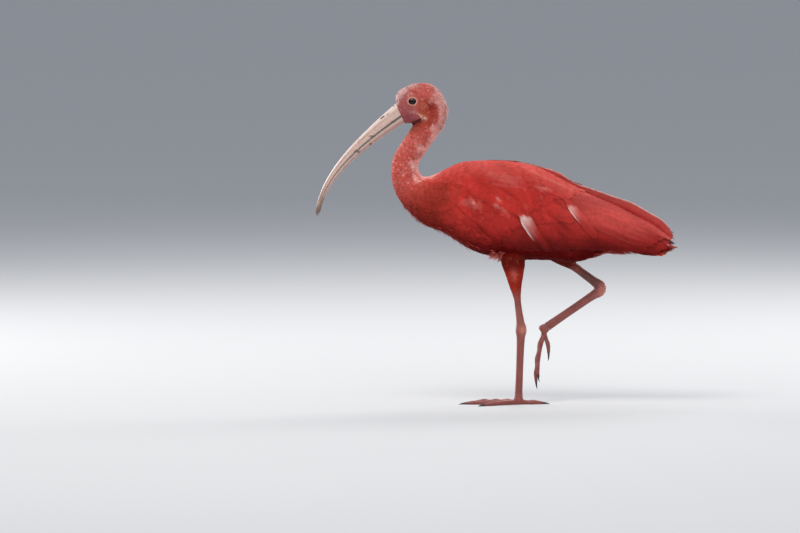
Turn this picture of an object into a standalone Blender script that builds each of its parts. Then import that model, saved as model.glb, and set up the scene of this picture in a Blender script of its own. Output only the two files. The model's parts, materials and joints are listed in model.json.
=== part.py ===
"""Scarlet ibis, life size, standing on its left leg with the right leg lifted.

Sizes are in millimetres and become metres when a mesh is made. The bird faces -X,
its left side faces -Y, the floor is z = 0, and the origin is under the middle of
the bird's box.
"""
from math import cos, pi, radians, sin

import bmesh
import bpy
from mathutils import Matrix, Vector

MM = 0.001
GAP = 0.3             # clearance between pieces that touch
SHARP_ANGLE = 35      # edges sharper than this stay crisp when shaded, degrees

# Head, neck and trunk, a row for each named section of the body:
# dorsal (x, z), ventral (x, z), half width, and how far the widest place drops
SECTIONS = {
    "bill base": ((-115.3, 347.3), (-104.4, 323.4), 8.2, 0.00),
    "forehead": ((-114.1, 357.6), (-100.6, 323.5), 10.8, 0.02),
    "brow": ((-105.5, 364.8), (-98.3, 323.5), 12.6, 0.02),
    "crown": ((-90.6, 369.7), (-96.3, 322.8), 14.0, 0.00),
    "hind crown": ((-74.5, 368.0), (-95.4, 321.1), 14.4, 0.00),
    "nape": ((-63.0, 355.3), (-96.3, 319.1), 14.3, 0.00),
    "occiput": ((-56.9, 338.7), (-98.3, 316.2), 13.8, 0.00),
    "neck top": ((-60.3, 324.3), (-100.9, 312.2), 13.2, 0.00),
    "throat": ((-67.6, 309.3), (-105.2, 305.9), 12.8, 0.00),
    "upper neck": ((-80.2, 291.5), (-110.7, 297.3), 12.6, 0.00),
    "middle neck": ((-88.7, 278.3), (-117.9, 284.0), 12.8, 0.00),
    "lower neck": ((-89.4, 270.8), (-120.0, 269.7), 13.8, 0.00),
    "neck base": ((-86.5, 264.5), (-118.7, 254.7), 16.2, 0.00),
    "crop": ((-81.9, 261.9), (-113.0, 239.2), 20.0, 0.00),
    "upper breast": ((-72.2, 263.2), (-100.9, 223.1), 25.0, 0.02),
    "shoulder": ((-56.1, 271.4), (-82.5, 207.0), 31.0, 0.04),
    "breast": ((-36.5, 278.9), (-59.5, 197.8), 35.0, 0.06),
    "keel": ((-6.6, 280.6), (-25.0, 177.1), 38.0, 0.08),
    "belly": ((25.6, 277.7), (14.1, 167.9), 38.5, 0.08),
    "loin": ((56.6, 269.1), (55.5, 166.8), 35.0, 0.06),
    "rump": ((81.9, 254.7), (91.1, 163.9), 28.0, 0.04),
    "vent": ((103.8, 236.3), (114.1, 169.6), 19.0, 0.00),
    "tail root": ((119.9, 220.2), (126.8, 174.8), 12.0, 0.00),
}
BODY_SIDES = 22
NECK_CUTS = {                # node: first section, last section, rings
    "head": ("bill base", "neck top", 13),
    "neck_upper": ("neck top", "middle neck", 6),
    "neck_lower": ("middle neck", "upper breast", 7),
    "torso": ("upper breast", "tail root", 17),
}

# Bill: its middle line as a Bezier curve in the x, z plane
BILL_CURVE = ((-110.3, 335.2), (-146.2, 307.6), (-201.2, 266.0), (-205.0, 216.2))
BILL_DEPTH = (24.0, 5.0)     # at the base and at the tip
BILL_WIDTH = (14.5, 4.4)
BILL_TAPER = 1.4             # how soon the depth falls off from the base
BILL_WIDTH_TAPER = 1.6       # how soon the width does
BILL_SETTLE = 0.12           # share of the curve that turns from the face's plane
BILL_TIP = (0.4, 1.6)        # the rounded end: its size against the last ring, its length
MOUTH_LINE = (0.66, 0.55)    # share of the depth above the mouth, base and tip
BILL_RINGS = 14
GROOVE_DEPTH = 0.8
GROOVE_ANGLES = (24, 34, 46)       # upper rim, bottom and lower rim of the groove
UPPER_FLANK = 68                   # last corner of the upper half before its ridge
LOWER_SECTION = (0, 28, 60, 90, 120, 152, 180)
NOSTRIL_SIZE = (4.2, 2.0, 0.9)     # half length, half depth and half height
NOSTRIL_PLACE = 0.085              # share of the bill's curve
NOSTRIL_TURN = 42                  # on the section, between the groove's bottom and its lower rim

# Eye, lids and the mouth line in the skin
EYE_RADIUS = 5.0
EYE_CENTRE = (-95.7, 349.6)
EYE_SINK = 3.0               # eyeball's centre below the cheek
LID_RADIUS = 4.9
LID_THICKNESS = 1.1
LID_SINK = 0.2
EYE_SEGMENTS = 14
EYE_RINGS = 8
LID_SIDES = 6
GAPE_START = (-107.0, 331.5)
GAPE_END = (-86.5, 328.6)
GAPE_HEIGHT = 1.0
GAPE_STATIONS = ((-0.15, 3.2), (0.5, 1.4), (1.0, 0.5))     # share of its line, depth in the cheek
GAPE_OUT = 20.0              # how far from the middle plane its cutter starts

# Surface that the closed wing follows: x, top z, bottom z, half width
WING_SECTIONS = (
    (-48, 272.0, 190.0, 33.0),
    (-30, 278.0, 183.0, 38.5),
    (0, 280.5, 172.0, 42.5),
    (45, 274.5, 167.0, 42.0),
    (90, 254.0, 166.0, 34.0),
    (140, 234.0, 166.0, 26.0),
    (180, 214.0, 166.5, 19.5),
    (212, 193.0, 171.0, 13.0),
)
WING_DROOP = {"left": 8.0, "right": 0.0}     # how much lower the closed tip hangs
WING_CORE = (-43, 86)                        # x where the fleshed wing starts and ends
WING_CORE_TOP = (38, 30)                     # upper edge at both ends, degrees from the top
WING_CORE_LOW = ((-43, 96), (0, 118), (40, 122), (86, 112))
WING_CORE_SINK = 10.0
WING_CORE_SIDES = 7
WING_CORE_RINGS = 9
VANE_TOP = 4                 # least angle that a vane reaches, degrees from the top

# Feather tiers of one wing, lowest first. A tier runs from its first to its last
# feather: roots and tips as (x, degrees from the top), width, count, and the lift
# of a feather at its root and at its tip
TIERS = {
    "primary": (((76, 84), (66, 104)), ((205, 62), (178, 112)), 13, 3, -3.4, -1.6),
    "secondary": (((78, 84), (-8, 116)), ((168, 104), (32, 138)), 18, 6, -1.0, 1.6),
    "greater covert": (((48, 70), (-20, 102)), ((104, 100), (6, 132)), 17, 6, -0.9, 2.6),
    "median covert": (((42, 54), (-32, 86)), ((82, 80), (-10, 116)), 18, 5, -0.9, 2.9),
    "lesser covert": (((12, 50), (-38, 70)), ((38, 68), (-22, 96)), 16, 4, -0.8, 2.6),
    "tertial": (((56, 66), (66, 26)), ((182, 86), (205, 28)), 18, 4, -0.9, 4.4),
    "scapular": (((-18, 54), (12, 26)), ((56, 68), (104, 22)), 20, 3, -1.0, 4.6),
}
VANE_THICKNESS = 0.55
VANE_TILT = 0.12             # slope across a vane: its lower edge stands off
VANE_RISE = 0.4              # each feather of a tier lies this much over the next
VANE_STATIONS = ((0.0, 0.5), (0.45, 1.0), (0.86, 0.86), (1.0, 0.3))

# Tail: feathers in pairs from the middle out
TAIL_PAIRS = 5
TAIL_VANE_ROOT = 126.0       # x where the middle pair starts
TAIL_ROOT = (116.0, 199.0)
TAIL_TIP = (207.5, 180.5)
TAIL_MIDDLE = (1.0, 1.2)     # middle pair's distance from the middle line, root and tip
TAIL_SECOND = (4.2, 7.4)     # second pair's
TAIL_OUTER = (7.0, 13.5)     # outer pair's
TAIL_ARCH = 0.018            # fall of the fan away from its middle line
TAIL_WIDTH = 15.0
TAIL_STEP = 1.05             # each pair lies this much under the one before
TAIL_UNDERLAP = 0.17         # right feathers lie this much lower than left ones
TAIL_SHORTER = 2.4           # and ends this much sooner
TAIL_ROOT_STAGGER = 2.0      # and starts this much later
TAIL_ROOT_SINK = 3.0         # its root lies this much lower than its tip
TAIL_SLEEVE = (4.0, 10.0, 2.0)     # room round the fan: after its root, past its tip, below it
TAIL_SIDES = 12
TAIL_BASE = (                # fleshy root: x, middle z, half height, half width
    (121, 198.5, 19.0, 10.5),
    (132, 193.0, 14.0, 10.0),
    (144, 187.5, 9.0, 9.0),
    (158, 183.0, 4.5, 7.5),
)

# Legs from hip to foot: middle point, half depth (x) and half width (y)
LEG_SIDES = 12
LEGS = {
    "left": (
        ((17, -13, 182), 14.0, 8.6),
        ((20, -15.5, 164), 13.6, 9.2),
        ((21.4, -15.4, 151), 10.4, 7.8),
        ((22.6, -14.6, 138), 7.2, 6.2),
        ((24.5, -13.4, 123.8), 4.2, 4.0),
        ((26.2, -12, 110), 4.1, 3.5),
        ((28.2, -10.6, 96), 4.7, 3.9),
        ((29, -10, 90), 6.0, 4.9),
        ((29, -9.4, 84), 6.3, 5.0),
        ((28.6, -8.6, 75), 4.8, 3.9),
        ((27.6, -6, 45), 4.2, 3.3),
        ((26.6, -3.4, 16), 4.4, 3.5),
        ((26.4, -3, 9.15), 4.9, 4.2),
    ),
    "right": (
        ((62, 12, 179), 12.0, 8.0),
        ((69, 14.5, 173.5), 10.6, 7.6),
        ((77, 17, 167.5), 8.8, 6.8),
        ((84.5, 19.2, 161.8), 6.6, 5.8),
        ((91, 20.5, 156.8), 4.8, 4.3),
        ((102, 21, 148.6), 4.9, 3.8),
        ((113, 21.2, 140.4), 5.3, 4.2),
        ((120, 21.2, 134.6), 6.9, 5.0),
        ((119, 21.1, 128.6), 6.8, 5.0),
        ((110, 20.8, 122.4), 5.0, 3.7),
        ((84, 20, 104.6), 4.7, 3.4),
        ((64, 19.5, 90.9), 5.0, 3.7),
        ((59.5, 19.3, 87.7), 5.2, 4.0),
    ),
}
LEG_CUTS = {"thigh": (0, 4), "shank": (4, 6), "tarsus": (6, 12)}

# Toes: length, turn from straight ahead in degrees, and number of joints
TOES = {
    "inner": (47.0, -33, 2),
    "middle": (60.0, -3, 3),
    "outer": (52.0, 29, 3),
    "hind": (27.0, 176, 1),
}
TOE_HALF_WIDTH = (3.3, 1.9)
TOE_HEIGHT = (6.0, 3.6)
TOE_RINGS_PER_JOINT = 2
TOE_PAD_SWELL = 0.22
TOE_SECTION = (-30, 8, 50, 90, 130, 172, 210)      # corners round a toe, degrees
TOE_MIDDLE = 0.32                  # height of the section's centre, share of the toe's height
FOOT_LEFT = (26.4, -3.0, 0.0)      # under the left tarsus
FOOT_HEIGHT = 9.0
FOOT_PAD = ((0, 4.6), (2.5, 5.8), (6, 5.6), (FOOT_HEIGHT, 4.6))      # height, radius
FOOT_NARROW = 0.86                 # its width against its depth
WEB_REACH = 15.0
WEB_DIP = 0.34                     # how far the web's edge draws in between the toes
WEB_THICKNESS = 1.2
WEB_LIFT = 0.6
CLAW_LENGTH = 9.0
CLAW_DROP = 1.2
CLAW_STATIONS = ((0, 0.9), (0.35, 0.7), (0.7, 0.42), (1.0, 0.12))    # share of its length, size

# Lifted foot: its toes hang half closed below the end of the tarsus
HANG_BEND = (-122, 8)        # front toes and hind toe, turned about the cross axis
HANG_PIVOT = 4.5             # height of the toes' joint in the foot
HANG_SPREAD = 0.35           # share of the standing foot's spread that is left
HANG_CURL = 22               # bend of each toe towards its tip, degrees

COLORS = {
    "plumage": ((0.50, 0.055, 0.035), 0.75),
    "neck": ((0.60, 0.14, 0.09), 0.75),
    "wing": ((0.42, 0.030, 0.022), 0.7),
    "bill": ((0.55, 0.36, 0.30), 0.45),
    "eye": ((0.015, 0.008, 0.006), 0.08),
    "leg": ((0.26, 0.085, 0.065), 0.55),
    "claw": ((0.05, 0.03, 0.025), 0.4),
}


def spline(rows, place):
    """Read a table at a fractional row number, on a smooth curve through its rows"""
    index = min(int(place), len(rows) - 2)
    t = place - index
    before = rows[max(index - 1, 0)]
    after = rows[min(index + 2, len(rows) - 1)]
    values = []
    for p0, p1, p2, p3 in zip(before, rows[index], rows[index + 1], after):
        bend = (2 * p0 - 5 * p1 + 4 * p2 - p3) * t * t + (3 * p1 - p0 - 3 * p2 + p3) * t ** 3
        values.append(p1 + 0.5 * ((p2 - p0) * t + bend))
    return values


def read_at(rows, x):
    """Read a table whose first column is x, on a smooth curve"""
    x = min(max(x, rows[0][0]), rows[-1][0])
    for index in range(len(rows) - 1):
        if x <= rows[index + 1][0]:
            share = (x - rows[index][0]) / (rows[index + 1][0] - rows[index][0])
            return spline(rows, index + share)[1:]
    return rows[-1][1:]


def mix(start, end, share):
    return start + (end - start) * share


def new_object(name, points, faces, collection):
    """A mesh object from points in millimetres, with its faces turned outward"""
    mesh = bpy.data.meshes.new(name)
    mesh.from_pydata([Vector(point) * MM for point in points], [], faces)
    body = bmesh.new()
    body.from_mesh(mesh)
    bmesh.ops.recalc_face_normals(body, faces=body.faces)
    if body.calc_volume(signed=True) < 0:
        bmesh.ops.reverse_faces(body, faces=body.faces)
    body.to_mesh(mesh)
    body.free()
    obj = bpy.data.objects.new(name, mesh)
    collection.objects.link(obj)
    return obj


def loft(name, rings, collection):
    """A closed solid over rings of equal count, with flat ends"""
    sides = len(rings[0])
    points = [point for ring in rings for point in ring]
    faces = []
    for row in range(len(rings) - 1):
        for k in range(sides):
            a = row * sides + k
            b = row * sides + (k + 1) % sides
            faces.append((a, b, b + sides))
            faces.append((a, b + sides, a + sides))
    faces.append(tuple(reversed(range(sides))))
    faces.append(tuple(range(len(points) - sides, len(points))))
    return new_object(name, points, faces, collection)


def evaluated_copy(obj):
    graph = bpy.context.evaluated_depsgraph_get()
    return bpy.data.meshes.new_from_object(obj.evaluated_get(graph))


def remove(objects):
    for obj in objects:
        bpy.data.objects.remove(obj)


def fuse(obj, pieces, solver="EXACT"):
    """Join closed pieces to an object by one Boolean union"""
    group = bpy.data.collections.new(obj.name + " pieces")
    for piece in pieces:
        group.objects.link(piece)
    union = obj.modifiers.new("union", "BOOLEAN")
    union.operation = "UNION"
    union.operand_type = "COLLECTION"
    union.collection = group
    union.solver = solver
    mesh = evaluated_copy(obj)
    obj.modifiers.clear()
    obj.data = mesh
    remove(list(group.objects))
    bpy.data.collections.remove(group)


def cut(obj, cutter, solver="EXACT"):
    """Take a cutter's shape out of an object"""
    step = obj.modifiers.new("cut", "BOOLEAN")
    step.operation = "DIFFERENCE"
    step.object = cutter
    step.solver = solver
    mesh = evaluated_copy(obj)
    obj.modifiers.clear()
    obj.data = mesh


def keep_largest(obj):
    """Keep an object's largest closed surface, as triangles"""
    body = bmesh.new()
    body.from_mesh(obj.data)
    bmesh.ops.remove_doubles(body, verts=body.verts, dist=0.000002)
    waiting = set(body.faces)
    shells = []
    while waiting:
        shell = {waiting.pop()}
        edge_of_shell = list(shell)
        while edge_of_shell:
            face = edge_of_shell.pop()
            near = {other for edge in face.edges for other in edge.link_faces} & waiting
            waiting -= near
            shell |= near
            edge_of_shell.extend(near)
        shells.append(shell)
    shells.sort(key=lambda shell: sum(face.calc_area() for face in shell))
    scraps = [face for shell in shells[:-1] for face in shell]
    bmesh.ops.delete(body, geom=scraps, context="FACES")
    bmesh.ops.triangulate(body, faces=body.faces)
    body.to_mesh(obj.data)
    body.free()


def section_rows():
    return [(*dorsal, *ventral, width, drop) for dorsal, ventral, width, drop in SECTIONS.values()]


def body_ring(place, grow=0.0, sides=BODY_SIDES):
    """One ring of head, neck and trunk at a fractional section number"""
    dx, dz, vx, vz, width, drop = spline(section_rows(), place)
    dorsal, ventral = Vector((dx, 0, dz)), Vector((vx, 0, vz))
    half = (dorsal - ventral) / 2
    half += half.normalized() * grow
    middle = (dorsal + ventral) / 2
    ring = []
    for k in range(sides):
        angle = 2 * pi * k / sides
        side = (width + grow) * sin(angle) * (1 - drop * cos(angle))
        ring.append(middle + half * cos(angle) + Vector((0, side, 0)))
    return ring


def ring_normal(ring):
    """Unit normal of a body ring, towards the tail"""
    up = ring[0] - ring[len(ring) // 2]
    return Vector((0, 1, 0)).cross(up).normalized()


def body_band(node, collection):
    """One length of head, neck or trunk, half a gap short of its cuts"""
    names = list(SECTIONS)
    first, last, count = NECK_CUTS[node]
    start, end = names.index(first), names.index(last)
    rings = [body_ring(mix(start, end, k / (count - 1))) for k in range(count)]
    for ring, sign in ((rings[0], 1), (rings[-1], -1)):
        shift = ring_normal(ring) * (sign * GAP / 2)
        ring[:] = [point + shift for point in ring]
    return loft(node, rings, collection)


def body_sleeve(collection):
    """The trunk grown by one gap, which parts what lies against it"""
    names = list(SECTIONS)
    start, end = names.index("neck base"), names.index("tail root")
    count = 2 * NECK_CUTS["torso"][2]
    rings = [body_ring(mix(start, end, k / (count - 1)), grow=2 * GAP) for k in range(count)]
    for ring, sign in ((rings[0], -1), (rings[-1], 1)):
        shift = ring_normal(ring) * (sign * GAP)
        ring[:] = [point + shift for point in ring]
    return loft("trunk sleeve", rings, collection)


def cheek_y(x, z):
    """Half width of the head at a place in the side view"""
    best = None
    steps = 10
    for step in range(6 * steps + 1):
        ring = body_ring(step / steps)
        for point in ring[:BODY_SIDES // 2 + 1]:
            gap = (point.x - x) ** 2 + (point.z - z) ** 2
            if best is None or gap < best[0]:
                best = (gap, point.y)
    return best[1]


def make_head(collection, cutters):
    """The head with its lids, eye sockets and mouth line, and the two eyeballs"""
    head = body_band("head", collection)
    x, z = EYE_CENTRE
    depth = cheek_y(x, z) - EYE_SINK
    lids = []
    for side in (-1, 1):
        bpy.ops.mesh.primitive_torus_add(
            major_radius=LID_RADIUS * MM, minor_radius=LID_THICKNESS * MM,
            major_segments=EYE_SEGMENTS, minor_segments=LID_SIDES, rotation=(pi / 2, 0, 0),
            location=Vector((x, side * (depth + EYE_SINK - LID_SINK), z)) * MM)
        lids.append(move_active("lid", collection))
    fuse(head, lids)
    for side in (-1, 1):
        bpy.ops.mesh.primitive_uv_sphere_add(
            segments=EYE_SEGMENTS, ring_count=EYE_RINGS, radius=(EYE_RADIUS + GAP) * MM,
            location=Vector((x, side * depth, z)) * MM)
        cut(head, move_active("eye socket", cutters))
        name = "eye_left" if side < 0 else "eye_right"
        bpy.ops.mesh.primitive_uv_sphere_add(
            segments=EYE_SEGMENTS, ring_count=EYE_RINGS, radius=EYE_RADIUS * MM,
            location=Vector((x, side * depth, z)) * MM)
        move_active(name, collection)
        cut(head, gape_cutter(side, cutters))
    keep_largest(head)
    return head


def move_active(name, collection):
    """Name the newest primitive and put it in a collection"""
    obj = bpy.context.active_object
    obj.name = name
    for group in list(obj.users_collection):
        group.objects.unlink(obj)
    collection.objects.link(obj)
    return obj


def gape_cutter(side, cutters):
    """A thin wedge that draws the mouth line back into the cheek"""
    start, end = Vector((GAPE_START[0], 0, GAPE_START[1])), Vector((GAPE_END[0], 0, GAPE_END[1]))
    up = Vector((0, 1, 0)).cross(end - start).normalized() * (-GAPE_HEIGHT / 2)
    rings = []
    for share, depth in GAPE_STATIONS:
        middle = start.lerp(end, share)
        outer = GAPE_OUT * side
        inner = (cheek_y(middle.x, middle.z) - depth) * side
        rings.append([
            middle + up + Vector((0, outer, 0)),
            middle - up + Vector((0, outer, 0)),
            middle - up * 0.3 + Vector((0, inner, 0)),
            middle + up * 0.3 + Vector((0, inner, 0)),
        ])
    return loft("gape", rings, cutters)


def bill_frame(t):
    """Middle point, upward normal, depth and half width of the bill"""
    p0, p1, p2, p3 = (Vector((x, 0, z)) for x, z in BILL_CURVE)
    s = 1 - t
    point = p0 * s ** 3 + 3 * p1 * s * s * t + 3 * p2 * s * t * t + p3 * t ** 3
    along = 3 * ((p1 - p0) * s * s + 2 * (p2 - p1) * s * t + (p3 - p2) * t * t)
    dorsal, ventral, _, _ = SECTIONS["bill base"]
    base_up = Vector((dorsal[0] - ventral[0], 0, dorsal[1] - ventral[1])).normalized()
    up = Vector((0, 1, 0)).cross(along).normalized()
    up = base_up.lerp(up, min(t / BILL_SETTLE, 1)).normalized()
    depth = mix(BILL_DEPTH[1], BILL_DEPTH[0], s ** BILL_TAPER)
    width = mix(BILL_WIDTH[1], BILL_WIDTH[0], s ** BILL_WIDTH_TAPER) / 2
    return point, up, depth, width


def bill_ring(t, upper):
    """A section of one half: a flat mouth side, and in the upper half a groove on each flank"""
    point, up, depth, width = bill_frame(t)
    mouth = depth * (0.5 - mix(*MOUTH_LINE, t))
    groove = GROOVE_DEPTH * sin(pi * min(t / 0.85, 1)) ** 0.6
    ring = []
    if upper:
        dents = {GROOVE_ANGLES[1]: groove}
        flank = [(angle, dents.get(angle, 0)) for angle in (0, *GROOVE_ANGLES, UPPER_FLANK)]
        flank += [(90, 0)] + [(180 - angle, dent) for angle, dent in reversed(flank)]
        base, rise = mouth + GAP / 2, depth / 2 - mouth - GAP / 2
    else:
        flank = [(angle, 0) for angle in LOWER_SECTION]
        base, rise = mouth - GAP / 2, -(depth / 2 + mouth - GAP / 2)
    for angle, dent in flank:
        turn = radians(angle)
        across = cos(turn) * (width - dent)
        ring.append(point + up * (base + rise * sin(turn)) + Vector((0, across, 0)))
    return ring


def make_bill(collection, cutters):
    """Two long halves that part along the mouth, with a slit nostril on each side"""
    base_normal = ring_normal(body_ring(0))
    end_size, end_length = BILL_TIP
    for name, upper in (("bill_upper", True), ("bill_lower", False)):
        reach = 1.0 if upper else 0.985
        rings = [bill_ring(reach * k / (BILL_RINGS - 1), upper) for k in range(BILL_RINGS)]
        plane = body_ring(0)[0] - base_normal * (GAP / 2)
        rings[0] = [point - base_normal * (point - plane).dot(base_normal) for point in rings[0]]
        tip = rings[-1]
        middle = sum(tip, Vector()) / len(tip)
        ahead = (middle - sum(rings[-2], Vector()) / len(tip)).normalized()
        rings.append([middle + (point - middle) * end_size + ahead * end_length for point in tip])
        bill = loft(name, rings, collection)
        if upper:
            for side in (-1, 1):
                cut(bill, nostril_cutter(side, cutters))
        keep_largest(bill)


def nostril_cutter(side, cutters):
    point, up, depth, width = bill_frame(NOSTRIL_PLACE)
    ahead = Vector((0, 1, 0)).cross(up)
    mouth = depth * (0.5 - MOUTH_LINE[0])
    rise = depth / 2 - mouth
    turn = radians(NOSTRIL_TURN)
    centre = point + up * (mouth + rise * sin(turn)) + Vector((0, side * cos(turn) * width, 0))
    bpy.ops.mesh.primitive_uv_sphere_add(segments=8, ring_count=6, radius=MM)
    cutter = move_active("nostril", cutters)
    length, reach, height = NOSTRIL_SIZE
    shape = Matrix((ahead * length, Vector((0, reach, 0)), up * height)).transposed()
    cutter.data.transform(shape.to_4x4())
    cutter.location = centre * MM
    return cutter


def wing_surface(side, x, angle, lift):
    """A point on the closed wing: angle is from the top, in radians, lift is outward"""
    top, bottom, width = read_at(WING_SECTIONS, x)
    middle, height = (top + bottom) / 2, (top - bottom) / 2
    across, up = width * sin(angle), height * cos(angle)
    normal = Vector((0, across / width ** 2, up / height ** 2)).normalized()
    start, end = WING_SECTIONS[2][0], WING_SECTIONS[-1][0]
    share = min(max((x - start) / (end - start), 0), 1)
    droop = WING_DROOP[side] * share ** 0.8
    point = Vector((x, across, middle + up - droop)) + normal * lift
    if side == "left":
        point.y = -point.y
    return point


def vane(name, surface, root, tip, width, lifts, tilt, collection):
    """One flat feather on a surface of two coordinates, from its root to its tip"""
    step = 0.01
    start = Vector(root)
    run = Vector(tip) - start
    grid = []
    for share, breadth in VANE_STATIONS:
        u, v = start + run * share
        here = surface(u, v, 0)
        along_u = (surface(u + step, v, 0) - here) / step
        along_v = (surface(u, v + step, 0) - here) / step
        ahead = along_u * run.x + along_v * run.y
        side = along_u.cross(along_v).cross(ahead).normalized()
        du = side.dot(along_u) / along_u.length_squared
        dv = side.dot(along_v) / along_v.length_squared
        row = []
        for across in (-1, 0, 1):
            reach = across * breadth * width / 2
            lift = mix(*lifts, share) + tilt * reach * (1 if dv > 0 else -1)
            place = (u + du * reach, v + dv * reach)
            row.append([surface(*place, lift + face * VANE_THICKNESS / 2) for face in (1, -1)])
        grid.append(row)
    count = len(grid)
    points = [grid[j][i][face] for face in (0, 1) for j in range(count) for i in range(3)]
    under = 3 * count
    faces = []
    for j in range(count - 1):
        for i in range(2):
            a = 3 * j + i
            for base in (0, under):
                faces.append((base + a, base + a + 1, base + a + 4))
                faces.append((base + a, base + a + 4, base + a + 3))
        for a in (3 * j, 3 * j + 2):
            faces.append((a, a + 3, under + a + 3))
            faces.append((a, under + a + 3, under + a))
    for j in (0, count - 1):
        for a in (3 * j, 3 * j + 1):
            faces.append((a, a + 1, under + a + 1))
            faces.append((a, under + a + 1, under + a))
    return new_object(name, points, faces, collection)


def wing_core(side, collection):
    """The fleshed part of the wing, deep enough to be cut by the trunk"""
    start, end = WING_CORE
    rings = []
    for k in range(WING_CORE_RINGS):
        share = k / (WING_CORE_RINGS - 1)
        x = mix(start, end, share)
        top = mix(*WING_CORE_TOP, share)
        low = read_at(WING_CORE_LOW, x)[0]
        angles = [radians(mix(top, low, i / (WING_CORE_SIDES - 1))) for i in range(WING_CORE_SIDES)]
        outer = [wing_surface(side, x, angle, 0) for angle in angles]
        inner = [wing_surface(side, x, angle, -WING_CORE_SINK) for angle in reversed(angles[::2])]
        rings.append(outer + inner)
    return loft("wing_" + side, rings, collection)


def make_wing(side, sleeves, collection):
    """The fleshed wing with its tiers of feathers, cut clear of the trunk and the tail"""
    wing = wing_core(side, collection)

    def surface(x, angle, lift):
        return wing_surface(side, x, max(angle, radians(VANE_TOP)), lift)

    vanes = []
    for tier, (roots, tips, width, count, low, high) in TIERS.items():
        for k in range(count):
            share = k / (count - 1)
            (root_x, root_turn), (tip_x, tip_turn) = (
                [mix(a, b, share) for a, b in zip(*ends)] for ends in (roots, tips))
            root = (root_x, radians(root_turn))
            tip = (tip_x, radians(tip_turn))
            below = k if tips[1][1] > tips[0][1] else count - 1 - k
            lifts = (low - below * VANE_RISE, high - below * VANE_RISE)
            vanes.append(vane(tier, surface, root, tip, width, lifts, VANE_TILT, collection))
    fuse(wing, vanes)
    for sleeve in sleeves:
        cut(wing, sleeve)
    keep_largest(wing)


def tail_surface(x, y, lift):
    """A point on the fan of the tail"""
    share = (x - TAIL_ROOT[0]) / (TAIL_TIP[0] - TAIL_ROOT[0])
    z = mix(TAIL_ROOT[1], TAIL_TIP[1], share) - TAIL_ARCH * y * y
    return Vector((x, y, z + lift))


def tail_sleeve(collection):
    """The space of the tail's fan and a gap round it"""
    rings = []
    after_root, past_tip, below_fan = TAIL_SLEEVE
    steps = 4
    for k in range(steps + 1):
        x = mix(TAIL_ROOT[0] + after_root, TAIL_TIP[0] + past_tip, k / steps)
        width = mix(*TAIL_OUTER, k / steps) + TAIL_WIDTH / 2 + 2 * GAP
        across = [width * i / steps for i in range(-steps, steps + 1)]
        above = [tail_surface(x, y, TAIL_STEP + VANE_THICKNESS + GAP) for y in across]
        below = [tail_surface(x, y, -TAIL_PAIRS * TAIL_STEP - below_fan) for y in reversed(across)]
        rings.append(above + below)
    return loft("tail sleeve", rings, collection)


def make_tail(collection):
    """The fleshy root and a fan of feathers, in pairs from the middle out"""
    rings = []
    for x, middle, height, width in TAIL_BASE:
        ring = []
        for k in range(TAIL_SIDES):
            angle = 2 * pi * k / TAIL_SIDES
            ring.append(Vector((x, width * sin(angle), middle + height * cos(angle))))
        rings.append(ring)
    plane = body_ring(len(SECTIONS) - 1)
    normal = ring_normal(plane)
    origin = plane[0] + normal * (GAP / 2)
    rings[0] = [point - normal * (point - origin).dot(normal) for point in rings[0]]
    tail = loft("tail", rings, collection)
    vanes = []
    for pair in range(TAIL_PAIRS):
        out = (pair - 1) / (TAIL_PAIRS - 2)
        root_y, tip_y = TAIL_MIDDLE if pair == 0 else (
            mix(near, far, out) for near, far in zip(TAIL_SECOND, TAIL_OUTER))
        depth = -pair * TAIL_STEP
        for sign in (-1, 1):
            root = (TAIL_VANE_ROOT + TAIL_ROOT_STAGGER * pair, sign * root_y)
            tip = (TAIL_TIP[0] - TAIL_SHORTER * pair, sign * tip_y)
            top = depth - TAIL_UNDERLAP * (sign > 0)
            if sign < 0 and pair == 0:
                top += TAIL_STEP
            lifts = (top - TAIL_ROOT_SINK, top)
            vanes.append(vane("rectrix", tail_surface, root, tip, TAIL_WIDTH, lifts, 0, collection))
    fuse(tail, vanes)
    keep_largest(tail)


def leg_stop(rows, place):
    """Middle point, axis and ring of a leg at a fractional row number"""
    flat = [(*point, depth, width) for point, depth, width in rows]
    x, y, z, depth, width = spline(flat, place)
    before = Vector(spline(flat, max(place - 0.1, 0))[:3])
    after = Vector(spline(flat, min(place + 0.1, len(flat) - 1))[:3])
    along = (after - before).normalized()
    ahead = Vector((0, 1, 0)).cross(along).normalized()
    side = along.cross(ahead)
    ring = []
    for i in range(LEG_SIDES):
        angle = 2 * pi * i / LEG_SIDES
        ring.append(Vector((x, y, z)) + ahead * depth * cos(angle) + side * width * sin(angle))
    return along, ring


def make_leg(side, sleeve, collection):
    """Feathered thigh, bare shank and tarsus, parted by narrow cuts"""
    for name, (start, end) in LEG_CUTS.items():
        rings = []
        count = 2 * (end - start) + 1
        for k in range(count):
            along, ring = leg_stop(LEGS[side], mix(start, end, k / (count - 1)))
            if k in (0, count - 1):
                shift = along * (GAP / 2 if k == 0 else -GAP / 2)
                ring = [point + shift for point in ring]
            rings.append(ring)
        segment = loft(name + "_" + side, rings, collection)
        if name == "thigh":
            cut(segment, sleeve)
            keep_largest(segment)


def toe_stops(length, turn, joints, curl):
    """Middle points of a toe along the floor, with its half width and height"""
    count = joints * TOE_RINGS_PER_JOINT + 2
    stops = []
    x, z, slope = 0.0, 0.0, 0.0
    for k in range(count):
        share = k / (count - 1)
        swell = 1 + TOE_PAD_SWELL * cos(2 * pi * share * (joints + 0.5))
        half = mix(*TOE_HALF_WIDTH, share) * swell
        height = mix(*TOE_HEIGHT, share) * (0.5 + 0.5 * swell)
        point = Vector((-x * cos(turn), x * sin(turn), z))
        stops.append((point, slope, half, height))
        x += length / (count - 1) * cos(slope)
        z -= length / (count - 1) * sin(slope)
        slope += radians(curl) / (count - 1)
    return stops


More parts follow.
